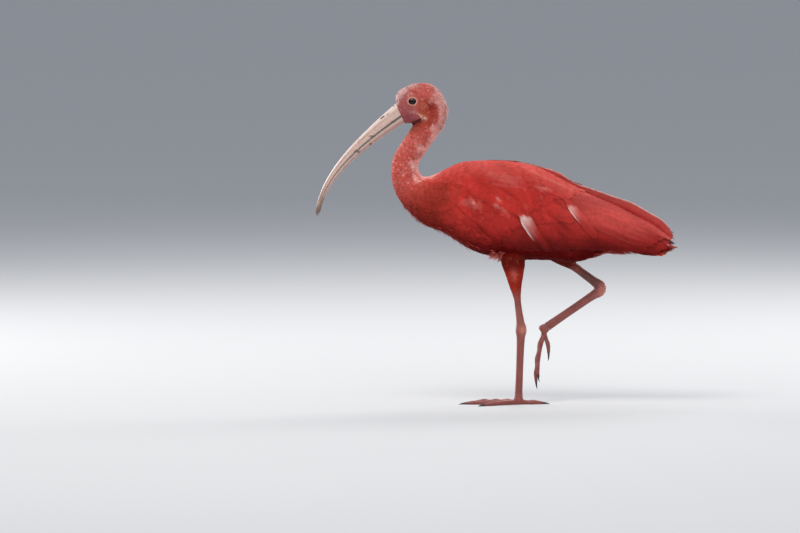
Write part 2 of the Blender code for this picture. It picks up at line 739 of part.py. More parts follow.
def toe_ring(stop, turn, grow=1.0):
    """A toe's section: round above, flat below"""
    point, slope, half, height = stop
    ahead = Vector((-cos(turn) * cos(slope), sin(turn) * cos(slope), -sin(slope)))
    side = Vector((sin(turn), cos(turn), 0))
    up = side.cross(ahead)
    if up.z < 0:
        up = -up
    ring = []
    for angle in TOE_SECTION:
        turn_up = radians(angle)
        rise = max(height * mix(sin(turn_up), 1, TOE_MIDDLE), 0)
        ring.append(point + side * half * grow * cos(turn_up) + up * rise)
    return ring


def claw_rings(stop, turn):
    """A curved claw that continues a toe"""
    point, slope, half, height = stop
    ahead = Vector((-cos(turn) * cos(slope), sin(turn) * cos(slope), -sin(slope)))
    base = toe_ring(stop, turn, CLAW_STATIONS[0][1])
    middle = sum(base, Vector()) / len(base)
    up = Vector((0, 0, 1)) - ahead * ahead.z
    rings = []
    for share, size in CLAW_STATIONS:
        drop = up.normalized() * (-CLAW_DROP * share * share)
        shift = ahead * (GAP + CLAW_LENGTH * share) + drop
        rings.append([middle + (corner - middle) * size + shift for corner in base])
    lowest = min(corner.dot(up) for corner in base)
    for ring in rings:
        for corner in ring:
            below = lowest - corner.dot(up)
            if below > 0:
                corner += up * below / up.length_squared
    return rings


def web(first, second, collection, name):
    """The small fold of skin between the roots of two toes"""
    corners = []
    for toe in (first, second):
        turn = radians(TOES[toe][1])
        corners.append(Vector((-cos(turn), sin(turn), 0)) * WEB_REACH)
    dip = (corners[0] + corners[1]) * WEB_DIP
    outline = [Vector(), corners[0], dip, corners[1]]
    rings = []
    for z in (WEB_LIFT, WEB_LIFT + WEB_THICKNESS):
        rings.append([corner + Vector((0, 0, z)) for corner in outline])
    return loft(name, rings, collection)


def make_foot(side, place, collection):
    """Four toes fused to a short pad under the tarsus, and their claws"""
    lifted = side == "right"
    pieces, claws = [], []
    for toe, (length, degrees_out, joints) in TOES.items():
        hind = abs(degrees_out) > 90
        outward = degrees_out if side == "left" else -degrees_out
        turn = radians(outward if hind or not lifted else outward * HANG_SPREAD)
        stops = toe_stops(length, turn, joints, HANG_CURL if lifted else 0)
        toe_piece = loft(toe, [toe_ring(stop, turn) for stop in stops], collection)
        claw = loft("claw_" + side + "_" + toe, claw_rings(stops[-1], turn), collection)
        if lifted:
            pivot = Matrix.Translation(Vector((0, 0, HANG_PIVOT)) * MM)
            bend = Matrix.Rotation(radians(HANG_BEND[hind]), 4, "Y")
            for obj in (toe_piece, claw):
                obj.data.transform(pivot @ bend @ pivot.inverted())
        pieces.append(toe_piece)
        claws.append(claw)
    if not lifted:
        pieces.append(web("inner", "middle", collection, "web"))
        pieces.append(web("middle", "outer", collection, "web"))
    pad_rings = []
    for z, radius in FOOT_PAD:
        ring = []
        for k in range(LEG_SIDES):
            angle = 2 * pi * k / LEG_SIDES
            ring.append(Vector((radius * cos(angle), radius * FOOT_NARROW * sin(angle), z)))
        pad_rings.append(ring)
    foot = loft("foot_" + side, pad_rings, collection)
    fuse(foot, pieces)
    keep_largest(foot)
    for obj in [foot] + claws:
        obj.data.transform(place)


def lifted_foot_place():
    """Move that sets a foot's top face against the end of the lifted tarsus"""
    rows = LEGS["right"]
    along, _ = leg_stop(rows, len(rows) - 1)
    turn = Vector((0, 0, -1)).rotation_difference(along).to_matrix().to_4x4()
    origin = Vector(rows[-1][0]) + along * (GAP / 2) - turn @ Vector((0, 0, FOOT_HEIGHT))
    return Matrix.Translation(origin * MM) @ turn


def make_legs(sleeve, collection):
    for side in LEGS:
        make_leg(side, sleeve, collection)
    make_foot("left", Matrix.Translation(Vector(FOOT_LEFT) * MM), collection)
    make_foot("right", lifted_foot_place(), collection)


def finish_look(collection):
    """Give every node its own material, and smooth its shading"""
    kinds = (
        ("bill", "bill"), ("eye", "eye"), ("claw", "claw"), ("shank", "leg"), ("tarsus", "leg"),
        ("foot", "leg"), ("wing", "wing"), ("neck", "neck"), ("head", "neck"), ("", "plumage"),
    )
    for obj in collection.objects:
        kind = next(look for start, look in kinds if obj.name.startswith(start))
        color, roughness = COLORS[kind]
        material = bpy.data.materials.new(obj.name)
        material.use_nodes = True
        shader = material.node_tree.nodes["Principled BSDF"]
        shader.inputs["Base Color"].default_value = (*color, 1)
        shader.inputs["Roughness"].default_value = roughness
        obj.data.materials.clear()
        obj.data.materials.append(material)
        obj.data.shade_smooth()
        obj.data.set_sharp_from_angle(angle=radians(SHARP_ANGLE))


def build():
    remove(list(bpy.data.objects))
    collection = bpy.data.collections.new("scarlet ibis")
    cutters = bpy.data.collections.new("cutters")
    for group in (collection, cutters):
        bpy.context.scene.collection.children.link(group)
    make_head(collection, cutters)
    make_bill(collection, cutters)
    for node in ("neck_upper", "neck_lower", "torso"):
        body_band(node, collection)
    sleeve = body_sleeve(cutters)
    make_tail(collection)
    for side in ("left", "right"):
        make_wing(side, (sleeve, tail_sleeve(cutters)), collection)
    make_legs(sleeve, collection)
    remove(list(cutters.objects))
    finish_look(collection)


build()
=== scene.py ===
"""Looks of a life-size scarlet ibis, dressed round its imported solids.

Lengths are in millimetres and become metres when a mesh is made. The bird faces -X and
its left side faces -Y, towards the camera. Most forms are read from surfaces of two
coordinates, so that skin, feathers and markings share one shape.
"""

import json
from math import cos, pi, radians, sin

import bmesh
import bpy
import numpy as np
from mathutils import Matrix, Vector

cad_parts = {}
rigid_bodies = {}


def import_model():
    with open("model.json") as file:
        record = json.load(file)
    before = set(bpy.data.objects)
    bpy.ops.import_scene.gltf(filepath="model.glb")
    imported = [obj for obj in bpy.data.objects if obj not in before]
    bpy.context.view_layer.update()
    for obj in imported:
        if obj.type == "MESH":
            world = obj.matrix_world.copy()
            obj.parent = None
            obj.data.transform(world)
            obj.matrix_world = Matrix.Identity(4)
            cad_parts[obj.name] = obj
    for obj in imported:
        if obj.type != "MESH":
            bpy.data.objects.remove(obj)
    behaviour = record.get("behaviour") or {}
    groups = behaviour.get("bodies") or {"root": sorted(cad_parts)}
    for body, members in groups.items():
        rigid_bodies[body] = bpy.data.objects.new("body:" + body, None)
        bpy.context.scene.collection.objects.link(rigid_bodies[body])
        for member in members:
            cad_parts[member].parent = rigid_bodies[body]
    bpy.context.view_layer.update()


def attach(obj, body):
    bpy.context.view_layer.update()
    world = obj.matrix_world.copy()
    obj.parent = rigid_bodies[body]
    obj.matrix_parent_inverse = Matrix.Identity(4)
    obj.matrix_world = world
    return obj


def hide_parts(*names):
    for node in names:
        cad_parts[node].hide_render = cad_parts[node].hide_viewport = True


for left_over in list(bpy.data.objects):
    bpy.data.objects.remove(left_over)
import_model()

MM = 0.001
rng = np.random.default_rng(23)

# Photograph: its size in pixels, the real size of a pixel at the bird, and the pixel
# that shows the origin of the frame
PICTURE = (800, 533)
PIXEL = 1.15
PICTURE_ORIGIN = (495.75, 404.5)
CAMERA_ELEVATION = 4.0       # degrees above the horizon
LENS = 400.0
SENSOR = 36.0

# Head, neck and trunk: dorsal (x, z), ventral (x, z), half width, drop of the widest place
SECTIONS = {
    "bill base": ((-115.3, 347.3), (-104.4, 323.4), 8.2, 0.00),
    "forehead": ((-114.1, 357.6), (-100.6, 323.5), 10.8, 0.02),
    "brow": ((-105.5, 364.8), (-98.3, 323.5), 12.6, 0.02),
    "crown": ((-90.6, 369.7), (-96.3, 322.8), 14.0, 0.00),
    "hind crown": ((-74.5, 368.0), (-95.4, 321.1), 14.4, 0.00),
    "nape": ((-63.0, 355.3), (-96.3, 319.1), 14.3, 0.00),
    "occiput": ((-56.9, 338.7), (-98.3, 316.2), 13.8, 0.00),
    "neck top": ((-60.3, 324.3), (-100.9, 312.2), 13.2, 0.00),
    "throat": ((-67.6, 309.3), (-105.2, 305.9), 12.8, 0.00),
    "upper neck": ((-80.2, 291.5), (-110.7, 297.3), 12.6, 0.00),
    "middle neck": ((-88.7, 278.3), (-117.9, 284.0), 12.8, 0.00),
    "lower neck": ((-89.4, 270.8), (-120.0, 269.7), 13.8, 0.00),
    "neck base": ((-86.5, 264.5), (-118.7, 254.7), 16.2, 0.00),
    "crop": ((-81.9, 261.9), (-113.0, 239.2), 20.0, 0.00),
    "upper breast": ((-72.2, 263.2), (-100.9, 223.1), 25.0, 0.02),
    "shoulder": ((-56.1, 271.4), (-82.5, 207.0), 31.0, 0.04),
    "breast": ((-36.5, 278.9), (-59.5, 197.8), 35.0, 0.06),
    "keel": ((-6.6, 280.6), (-25.0, 177.1), 38.0, 0.08),
    "belly": ((25.6, 277.7), (14.1, 167.9), 38.5, 0.08),
    "loin": ((56.6, 269.1), (55.5, 166.8), 35.0, 0.06),
    "rump": ((81.9, 254.7), (91.1, 163.9), 28.0, 0.04),
    "vent": ((103.8, 236.3), (114.1, 169.6), 19.0, 0.00),
    "tail root": ((119.9, 220.2), (126.8, 174.8), 12.0, 0.00),
}
TAIL_COVER = (               # where the coat beyond the tail root leads
    (148, 203, 152, 176.5, 9.0, 0),
    (178, 191, 181, 176.5, 7.0, 0),
)

# Surface of the closed wing: x, top z, bottom z, half width
WING_SECTIONS = (
    (-48, 272.0, 190.0, 33.0),
    (-30, 278.0, 183.0, 38.5),
    (0, 280.5, 172.0, 42.5),
    (45, 274.5, 167.0, 42.0),
    (90, 254.0, 166.0, 34.0),
    (140, 234.0, 166.0, 26.0),
    (180, 214.0, 166.5, 19.5),
    (212, 193.0, 171.0, 13.0),
)
WING_DROOP = {"left": 8.0, "right": 0.0}
FAR_EDGE = (                 # x and height of the far wing's inner feathers along the back
    (16, 281.2), (39.5, 277.2), (62.5, 271.0), (73.9, 266.6), (80.8, 261.6), (88.8, 256.5), (96.9, 253.0),
    (119.9, 245.5), (142.9, 237.5), (154.4, 232.9), (177.4, 220.2), (188.9, 213.3), (195.8, 205.5),
    (203, 196.0), (210, 188.0),
)
FAR_RISE_SPREAD = 0.6        # how far round the far wing its raised inner edge reaches, in radians
CREASES = (                  # folds between the near wing's feathers in its side view: line, depth
    ((-8.0, 257.0), (23.0, 240.0), 0.7), ((0.0, 230.0), (27.9, 215.6), 0.8), ((27.9, 215.6), (54.0, 180.0), 0.6),
    ((-47.0, 229.5), (-18.0, 206.5), 0.8), ((-18.0, 206.5), (5.0, 178.0), 0.6),
    ((-34.0, 246.0), (-12.0, 233.0), 0.6), ((60.0, 222.0), (92.0, 196.0), 0.5),
)

# Tail fan
TAIL_ROOT = (116.0, 199.0)
TAIL_TIP = (207.5, 180.5)
TAIL_ARCH = 0.026
TAIL_BASE = (
    (119, 199.0, 19.0, 10.5),
    (132, 193.0, 14.0, 10.0),
    (144, 187.5, 9.0, 9.0),
    (158, 183.0, 4.5, 7.5),
)

# Legs from hip to foot: middle point, half depth and half width
LEGS = {
    "left": (
        (17, -13, 182, 14.0, 8.6),
        (20, -15.5, 164, 13.6, 9.2),
        (21.4, -15.4, 151, 10.4, 7.8),
        (22.6, -14.6, 138, 7.2, 6.2),
        (24.5, -13.4, 123.8, 4.2, 4.0),
        (26.2, -12, 110, 4.1, 3.5),
        (28.2, -10.6, 96, 4.7, 3.9),
        (29, -10, 90, 6.0, 4.9),
        (29, -9.4, 84, 6.3, 5.0),
        (28.6, -8.6, 75, 4.8, 3.9),
        (27.6, -6, 45, 4.2, 3.3),
        (26.6, -3.4, 16, 4.4, 3.5),
        (26.4, -3, 9.15, 4.9, 4.2),
    ),
    "right": (
        (62, 12, 179, 12.0, 8.0),
        (69, 14.5, 173.5, 10.6, 7.6),
        (77, 17, 167.5, 8.8, 6.8),
        (84.5, 19.2, 161.8, 6.6, 5.8),
        (91, 20.5, 156.8, 4.8, 4.3),
        (102, 21, 148.6, 4.9, 3.8),
        (113, 21.2, 140.4, 5.3, 4.2),
        (120, 21.2, 134.6, 6.9, 5.0),
        (119, 21.1, 128.6, 6.8, 5.0),
        (110, 20.8, 122.4, 5.0, 3.7),
        (84, 20, 104.6, 4.7, 3.4),
        (64, 19.5, 90.9, 5.0, 3.7),
        (59.5, 19.3, 87.7, 5.2, 4.0),
    ),
}
THIGH_END = 4.0              # place on the leg where the feathers stop


def srgb(red, green, blue):
    """A colour as it shows on a screen, as linear values"""
    shown = np.array((red, green, blue)) / 255
    return np.where(shown <= 0.04045, shown / 12.92, ((shown + 0.055) / 1.055) ** 2.4)


def mix(start, end, share):
    return start + (end - start) * share


def smooth(low, high, value):
    """0 below low, 1 above high, and an even turn between them"""
    t = np.clip((np.asarray(value, float) - low) / (high - low), 0, 1)
    return t * t * (3 - 2 * t)


def spot(x, z, centre, size):
    """1 at a place of the side view, falling to 0 round it"""
    return np.exp(-((x - centre[0]) / size[0]) ** 2 - ((z - centre[1]) / size[1]) ** 2)


def unit(vectors):
    return vectors / np.maximum(np.linalg.norm(vectors, axis=-1, keepdims=True), 1e-12)


def dot(a, b):
    return (a * b).sum(-1)


def spline(rows, place):
    """Read a table at fractional row numbers, on a smooth curve through its rows"""
    rows = np.asarray(rows, float)
    place = np.asarray(place, float)
    index = np.clip(np.floor(place).astype(int), 0, len(rows) - 2)
    t = (place - index)[..., None]
    p0, p1 = rows[np.maximum(index - 1, 0)], rows[index]
    p2, p3 = rows[index + 1], rows[np.minimum(index + 2, len(rows) - 1)]
    bend = (2 * p0 - 5 * p1 + 4 * p2 - p3) * t * t + (3 * p1 - p0 - 3 * p2 + p3) * t ** 3
    return p1 + 0.5 * ((p2 - p0) * t + bend)


def read_at(rows, x):
    """Read a table whose first column is x, on a smooth curve"""
    rows = np.asarray(rows, float)
    return spline(rows[:, 1:], np.interp(x, rows[:, 0], np.arange(len(rows))))


# Surfaces

class Surface:
    """A surface of two coordinates, with tangents and an outward normal"""

    def __init__(self, base, outward=1.0, step=0.01, patch=None, span=None):
        self.base = base
        self.outward = outward
        self.step = step
        self.patch = patch
        self.span = span

    def frame(self, u, v):
        here = self.base(u, v)
        along_u = (self.base(u + self.step, v) - here) / self.step
        along_v = (self.base(u, v + self.step) - here) / self.step
        return here, along_u, along_v, unit(np.cross(along_u, along_v)) * self.outward

    def point(self, u, v, lift):
        here, _, _, normal = self.frame(u, v)
        return here + normal * np.asarray(lift)[..., None]

    def unwrap(self, u, v):
        """Place on the skin's unwrap, shared by skin and coat"""
        (u0, u1), (v0, v1) = self.span
        left, low, width, height = self.patch
        return np.stack((left + width * (u - u0) / (u1 - u0), low + height * (v - v0) / (v1 - v0)), -1)


def segment_distance(x, z, line):
    """Distance of places in the side view from a line between two of them"""
    (x0, z0), (x1, z1) = line
    share = ((x - x0) * (x1 - x0) + (z - z0) * (z1 - z0)) / ((x1 - x0) ** 2 + (z1 - z0) ** 2)
    share = np.clip(share, 0, 1)
    return np.hypot(x - mix(x0, x1, share), z - mix(z0, z1, share))


def ripple(x, z, size, turn=0.0):
    """A smooth, repeatable unevenness between -1 and 1, of about the given size"""
    a, b = x * cos(turn) + z * sin(turn), z * cos(turn) - x * sin(turn)
    waves = np.sin(a / size + 1.3 * np.sin(b / size * 0.7))
    waves = waves + np.sin(b / size * 1.3 + 2.1 * np.cos(a / size * 0.6))
    return waves / 2


def section_rows(extended):
    rows = [(*dorsal, *ventral, width, drop) for dorsal, ventral, width, drop in SECTIONS.values()]
    return np.array(rows + list(TAIL_COVER) if extended else rows, float)


def body_surface(extended):
    rows = section_rows(extended)

    def base(place, angle):
        dx, dz, vx, vz, width, drop = np.moveaxis(spline(rows, place), -1, 0)
        c, s = np.cos(angle), np.sin(angle)
        fold = 0.4 * ripple(2.6 * place, 30 * np.abs(angle), 2.6, 0.1) * smooth(12.5, 14.5, place) \
            * smooth(22.5, 20.5, place)
        grow = 1 + fold / np.maximum(width, 10)
        x = (dx + vx) / 2 + (dx - vx) / 2 * c * grow
        z = (dz + vz) / 2 + (dz - vz) / 2 * c * grow
        return np.stack((x, width * s * (1 - drop * c) * grow, z), -1)

    return Surface(base, patch=(0.01, 0.01, 0.97, 0.38), span=((0, 24), (-pi, pi)))


def feather_lie(x, z):
    """Distances along and across the lie of the wing's feathers in the side view"""
    slant = mix(0.9, 0.55, smooth(20, 130, x))
    return x * np.cos(slant) - z * np.sin(slant), z * np.cos(slant) + x * np.sin(slant)


def wing_folds(side, x, z):
    """Soft ridges where the feathers of the closed wing lie in clumps"""
    along, across = feather_lie(x, z)
    fold = 0.85 * ripple(along / 4.5, across, 2.7, 0.15) + 0.34 * ripple(along / 3, across, 1.5, -0.1)
    fold = fold * mix(1.0, 0.3, smooth(50, 110, x))
    if side == "left":
        for start, end, depth in CREASES:
            away = segment_distance(x, z, (start, end))
            fold = fold + depth * (0.8 * np.exp(-(away / 6) ** 2) - 1.4 * np.exp(-(away / 1.7) ** 2))
    return fold


def wing_surface(side):
    mirror = -1 if side == "left" else 1

    def base(x, angle):
        top, bottom, width = np.moveaxis(read_at(WING_SECTIONS, x), -1, 0)
        turn = (angle + np.sqrt(angle ** 2 + 0.01)) / 2
        start, end = WING_SECTIONS[2][0], WING_SECTIONS[-1][0]
        droop = WING_DROOP[side] * np.clip((x - start) / (end - start), 0, 1) ** 1.1
        z = (top + bottom) / 2 + (top - bottom) / 2 * np.cos(turn) - droop
        fold = wing_folds(side, x, z) * smooth(0.25, 0.8, turn)
        z = z + fold * np.cos(turn)
        if side == "right":
            rise = np.maximum(read_at(FAR_EDGE, x)[..., 0] - 1.2 - top, 0) * smooth(10, 30, x)
            z = z + rise * np.exp(-(turn / FAR_RISE_SPREAD) ** 2)
        return np.stack((x + 0 * turn, mirror * (width + fold) * np.sin(turn), z), -1)

    low = 0.41 if side == "left" else 0.63
    return Surface(base, outward=mirror, patch=(0.01, low, 0.97, 0.2), span=((-60, 215), (0, 2.7)))


def tail_base(x, y):
    share = (x - TAIL_ROOT[0]) / (TAIL_TIP[0] - TAIL_ROOT[0])
    return np.stack((x, y + 0 * x, mix(TAIL_ROOT[1], TAIL_TIP[1], share) - TAIL_ARCH * y * y), -1)


def leg_surface(side):
    rows = np.array(LEGS[side], float)

    def base(place, angle):
        stop = spline(rows, place)
        middle, depth, width = stop[..., :3], stop[..., 3:4], stop[..., 4:5]
        along = unit(spline(rows, place + 0.1)[..., :3] - spline(rows, place - 0.1)[..., :3])
        ahead = unit(np.cross(np.array((0.0, 1.0, 0.0)), along))
        across = np.cross(along, ahead)
        return middle + ahead * depth * np.cos(angle)[..., None] + across * width * np.sin(angle)[..., None]

    left = 0.34 if side == "left" else 0.67
    return Surface(base, outward=-1, patch=(left, 0.85, 0.3, 0.13), span=((0, 12), (-pi, pi)))


BODY = body_surface(extended=True)
TRUNK = body_surface(extended=False)
WINGS = {side: wing_surface(side) for side in ("left", "right")}
TAIL = Surface(tail_base, patch=(0.01, 0.85, 0.31, 0.13), span=((100, 215), (-26, 26)))
LEG = {side: leg_surface(side) for side in LEGS}


# Meshes

def new_mesh_object(name, points, faces, tint, uv=None, vane_uv=None, corner_normals=None):
    """A mesh from arrays: points in millimetres, faces of equal count, a colour for each point"""
    count, sides = faces.shape
    corners = faces.ravel()
    mesh = bpy.data.meshes.new(name)
    mesh.vertices.add(len(points))
    mesh.vertices.foreach_set("co", (points * MM).astype(np.float32).ravel())
    mesh.loops.add(len(corners))
    mesh.loops.foreach_set("vertex_index", corners.astype(np.int32))
    mesh.polygons.add(count)
    mesh.polygons.foreach_set("loop_start", np.arange(0, len(corners), sides, dtype=np.int32))
    mesh.update(calc_edges=True)
    for map_name, values in (("OFBake", uv), ("Vane", vane_uv)):
        if values is not None:
            layer = mesh.uv_layers.new(name=map_name)
            layer.data.foreach_set("uv", values[corners].astype(np.float32).ravel())
    mesh.shade_smooth()
    if corner_normals is not None:
        mesh.normals_split_custom_set(corner_normals.astype(np.float32))
    obj = bpy.data.objects.new(name, mesh)
    bpy.context.scene.collection.objects.link(obj)
    paint(obj, tint)
    return obj


def paint(obj, tint):
    """Store a linear colour for each point"""
    layer = obj.data.color_attributes.get("Tint")
    if layer is None:
        layer = obj.data.color_attributes.new("Tint", "FLOAT_COLOR", "POINT")
    values = np.ones((len(obj.data.vertices), 4), np.float32)
    values[:, :3] = np.clip(tint, 0, 1)
    layer.data.foreach_set("color", values.ravel())


def points_of(obj):
    points = np.zeros(len(obj.data.vertices) * 3, np.float32)
    obj.data.vertices.foreach_get("co", points)
    return points.reshape(-1, 3) / MM


def grid_faces(rows, columns, closed):
    """Quads of a grid, joined round its columns if closed"""
    across = np.arange(columns if closed else columns - 1)
    a = (np.arange(rows - 1)[:, None] * columns + across).ravel()
    b = (np.arange(rows - 1)[:, None] * columns + (across + 1) % columns).ravel()
    return np.stack((a, b, b + columns, a + columns), -1)


def tube(name, rings, tint, uv=None, outward=True):
    """A closed solid over rings (rows, sides, 3), with its ends drawn to a middle point"""
    rows, sides, _ = rings.shape
    ends = np.stack((rings[0].mean(0), rings[-1].mean(0)))
    points = np.concatenate((rings.reshape(-1, 3), ends))
    quads = grid_faces(rows, sides, True)
    faces = np.concatenate((quads[:, (0, 1, 2)], quads[:, (0, 2, 3)]))
    k = np.arange(sides)
    first, last = rows * sides, rows * sides + 1
    cap = np.stack((np.full(sides, first), (k + 1) % sides, k), -1)
    end = (rows - 1) * sides
    cap_end = np.stack((np.full(sides, last), end + k, end + (k + 1) % sides), -1)
    faces = np.concatenate((faces, cap, cap_end))
    if not outward:
        faces = faces[:, ::-1]
    if uv is not None:
        flat = uv.reshape(-1, 2)
        uv = np.concatenate((flat, flat[:1], flat[-1:]))
    tint = np.concatenate((tint.reshape(-1, 3), tint[0].mean(0)[None], tint[-1].mean(0)[None]))
    return new_mesh_object(name, points, faces, tint, uv)


def join(name, objects):
    """Several objects as one mesh"""
    body = bmesh.new()
    for obj in objects:
        body.from_mesh(obj.data)
    mesh = bpy.data.meshes.new(name)
    body.to_mesh(mesh)
    body.free()
    for obj in objects:
        bpy.data.objects.remove(obj)
    mesh.shade_smooth()
    joined = bpy.data.objects.new(name, mesh)
    bpy.context.scene.collection.objects.link(joined)
    return joined


# Feathers

class Template:
    """A feather of length 1 and half width 1: points (along, across, height), the lean of the
    normal at each point, triangles, and whether each triangle faces up"""

    def __init__(self, points, leans, faces, upward, ragged):
        self.points = np.array(points, float)
        self.leans = np.array(leans, float)
        self.faces = np.array(faces, int)
        self.upward = np.array(upward, float)
        self.ragged = np.array(ragged, float)


def barb_template(per_side, splay=1.35):
    """A soft body feather: kite-shaped barbs that fan out from its shaft"""
    points, leans, faces, upward, ragged = [], [], [], [], []
    step = radians(113) / per_side
    for side in (-1, 1):
        for k in range(per_side):
            share = (k + 0.5) / per_side
            turn = radians(mix(118, 5, share))
            root = np.array((mix(0.0, 0.7, share), 0.0))
            tip = np.array((0.53 + 0.47 * cos(turn), side * sin(turn)))
            middle = mix(root, tip, 0.62)
            reach = np.array((0.47 * sin(turn), -side * cos(turn))) * step * splay / 2
            first, second = middle + reach, middle - reach
            if side < 0:
                first, second = second, first
            start = len(points)
            for place, height in ((root, 0.1), (first, 0), (tip, 0), (second, 0), (middle, 1)):
                points.append((*place, height))
            leans += [(-0.2, 0), unit(first - middle), (0.35, side * 0.1), unit(second - middle), (0, 0)]
            corners = [(0, 1, 4), (1, 2, 4), (2, 3, 4), (3, 0, 4), (0, 2, 1), (0, 3, 2)]
            faces += [tuple(start + c for c in face) for face in corners]
            upward += [1, 1, 1, 1, -1, -1]
            ragged += [0, 0.4, 1, 0.4, 0.4]
    return Template(points, leans, faces, upward, ragged)


def vane_template(stations, columns, round_from, narrow_root=0.45):
    """A flight feather: one thin closed vane with a raised shaft"""
    points, leans, faces, upward, ragged = [], [], [], [], []
    along = 1 - (1 - np.linspace(0, 1, stations)) ** 1.25
    across = np.sign(np.linspace(-1, 1, columns)) * np.abs(np.linspace(-1, 1, columns)) ** 0.9
    for layer in (1, -1):
        for s in along:
            end = np.clip((s - round_from) / (1 - round_from), 0, 1) * 0.985
            breadth = min(1, narrow_root + 2.2 * s) * np.sqrt(1 - end ** 2)
            for c in across:
                shaft = np.exp(-(c / 0.07) ** 2) * (1 - s) * layer
                points.append((s, c * breadth, layer * 0.5 * (1 - 0.5 * c * c) + shaft))
                leans.append((0, 0.35 * c ** 3 + 0.9 * shaft * np.sign(c)))
                ragged.append(float(abs(c) > 0.99) + 0.5 * float(s == 1))
    half = stations * columns
    for j in range(stations - 1):
        for i in range(columns - 1):
            a = j * columns + i
            b = a + columns
            faces += [(a, b, b + 1), (a, b + 1, a + 1)]
            upward += [1, 1]
            faces += [(half + a, half + b + 1, half + b), (half + a, half + a + 1, half + b + 1)]
            upward += [-1, -1]
    for j in range(stations - 1):
        for a, b in ((j * columns, (j + 1) * columns), ((j + 2) * columns - 1, (j + 1) * columns - 1)):
            faces += [(a, half + a, half + b), (a, half + b, b)]
            upward += [1, 1]
    for i in range(columns - 1):
        for a, b in ((i + 1, i), ((stations - 1) * columns + i, (stations - 1) * columns + i + 1)):
            faces += [(a, half + a, half + b), (a, half + b, b)]
            upward += [1, 1]
    return Template(points, leans, faces, upward, ragged)


def lay_feathers(surface, roots, tips, widths, template, lifts, tints, thickness=0.2,
                 camber=0.0, tilt=0.0, bow=0.0, rag=0.0, softness=0.5, patch=0.003):
    """Set one template along many runs of a surface. roots and tips are surface coordinates,
    lifts are the heights of root and tip, and tints(along, across, places) gives the colours"""
    count, size = len(roots), len(template.points)
    s, c, h = (np.tile(template.points[:, i], (count, 1)) for i in range(3))
    loose = rng.normal(0, 1, (count, size)) * template.ragged * rag
    s = s * (1 + 0.5 * loose)
    c = c * (1 + loose)
    run = (tips - roots)[:, None, :]
    u, v = roots[:, None, 0] + run[..., 0] * s, roots[:, None, 1] + run[..., 1] * s
    _, along_u, along_v, normal = surface.frame(u, v)
    forward = unit(along_u * run[..., :1] + along_v * run[..., 1:])
    side = np.cross(normal, forward)
    uu, uv, vv = dot(along_u, along_u), dot(along_u, along_v), dot(along_v, along_v)
    area = uu * vv - uv * uv
    to_u, to_v = dot(side, along_u), dot(side, along_v)
    reach = c * np.asarray(widths)[:, None] / 2 + np.asarray(bow).reshape(-1, 1) * np.sin(pi * s)
    u = u + (to_u * vv - to_v * uv) / area * reach
    v = v + (to_v * uu - to_u * uv) / area * reach
    here, _, _, normal = surface.frame(u, v)
    low, high = (np.asarray(x, float).reshape(-1, 1) for x in lifts)
    lift = mix(low, high, s) + np.asarray(tilt).reshape(-1, 1) * reach - camber * c * c + h * thickness
    points = here + normal * lift[..., None]
    lean = template.leans * softness
    normals = unit(normal + forward * lean[:, :1] + side * lean[:, 1:])
    shown = (0.5 + (s - 0.5) * 0.9) * patch, c * 0.45 * patch
    uv_map = surface.unwrap(roots[:, 0], roots[:, 1])[:, None, :] + np.stack(shown, -1)
    ends = surface.base(roots[:, 0], roots[:, 1]) - surface.base(tips[:, 0], tips[:, 1])
    lengths = np.linalg.norm(ends, axis=-1)[:, None]
    vane_map = np.stack((s * lengths * MM, c * np.asarray(widths)[:, None] * MM / 2), -1)
    faces = template.faces[None] + np.arange(count)[:, None, None] * size
    corner_normals = normals[:, template.faces] * template.upward[None, :, None, None]
    return {
        "points": points.reshape(-1, 3), "faces": faces.reshape(-1, 3), "uv": uv_map.reshape(-1, 2),
        "vane": vane_map.reshape(-1, 2), "normals": corner_normals.reshape(-1, 3),
        "tint": tints(s, c, np.stack((u, v))).reshape(-1, 3),
    }


def coat_piece(name, batches, material, replaced=()):
    """One mesh of many feathers, riding on the body"""
    offsets = np.cumsum([0] + [len(batch["points"]) for batch in batches])
    gathered = {key: np.concatenate([batch[key] for batch in batches]) for key in batches[0]}
    gathered["faces"] = np.concatenate([b["faces"] + o for b, o in zip(batches, offsets)])
    obj = new_mesh_object(name, gathered["points"], gathered["faces"], gathered["tint"],
                          gathered["uv"], gathered["vane"], gathered["normals"])
    return place_piece(obj, material, replaced)


def place_piece(obj, material, replaced=()):
    obj.data.materials.clear()
    obj.data.materials.append(material)
    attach(obj, "root")
    if replaced:
        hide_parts(*replaced)
    return obj


# Markings

PLUME = {name: srgb(*shown) for name, shown in {
    "crown": (200, 93, 86), "cheek": (172, 62, 50), "ear": (138, 34, 26), "tan": (214, 160, 124),
    "throat": (138, 68, 52), "neck": (190, 79, 69), "neck rear": (238, 172, 162), "breast": (144, 46, 35),
    "white": (246, 226, 220), "scarlet": (196, 56, 49),
    # coral top light is a lighter scarlet painted as light on the top of the bird
    # shade maroon is the dark red of painted shade on the underside
    "shade maroon": (86, 6, 5), "coral top light": (196, 75, 69), "wing": (182, 48, 43),
    "wing low": (104, 10, 9), "faded": (226, 150, 140), "pink": (226, 122, 112),
    "black": (22, 14, 15), "thigh": (160, 38, 27), "tail tip": (176, 84, 54),
}.items()}
HIDE = {name: srgb(*shown) for name, shown in {
    "lore": (160, 78, 76), "malar": (150, 64, 70), "forehead": (204, 168, 162), "ring": (216, 144, 132),
    "brow": (188, 96, 66),
    "spot": (84, 56, 56), "crease shade": (70, 10, 12), "shank": (164, 94, 81), "tarsus": (157, 80, 72),
    "ankle": (226, 138, 120), "far shank shade": (112, 58, 48), "scale line": (84, 38, 34),
    "bill top highlight": (226, 204, 194), "bill side": (206, 176, 162), "bill low": (184, 148, 136),
    # mouth is the dark colour of painted shade in the mouth gap and the nostrils
    "bill tip": (88, 62, 46), "mouth": (34, 18, 14), "blotch": (78, 54, 46), "claw": (48, 34, 30),
}.items()}

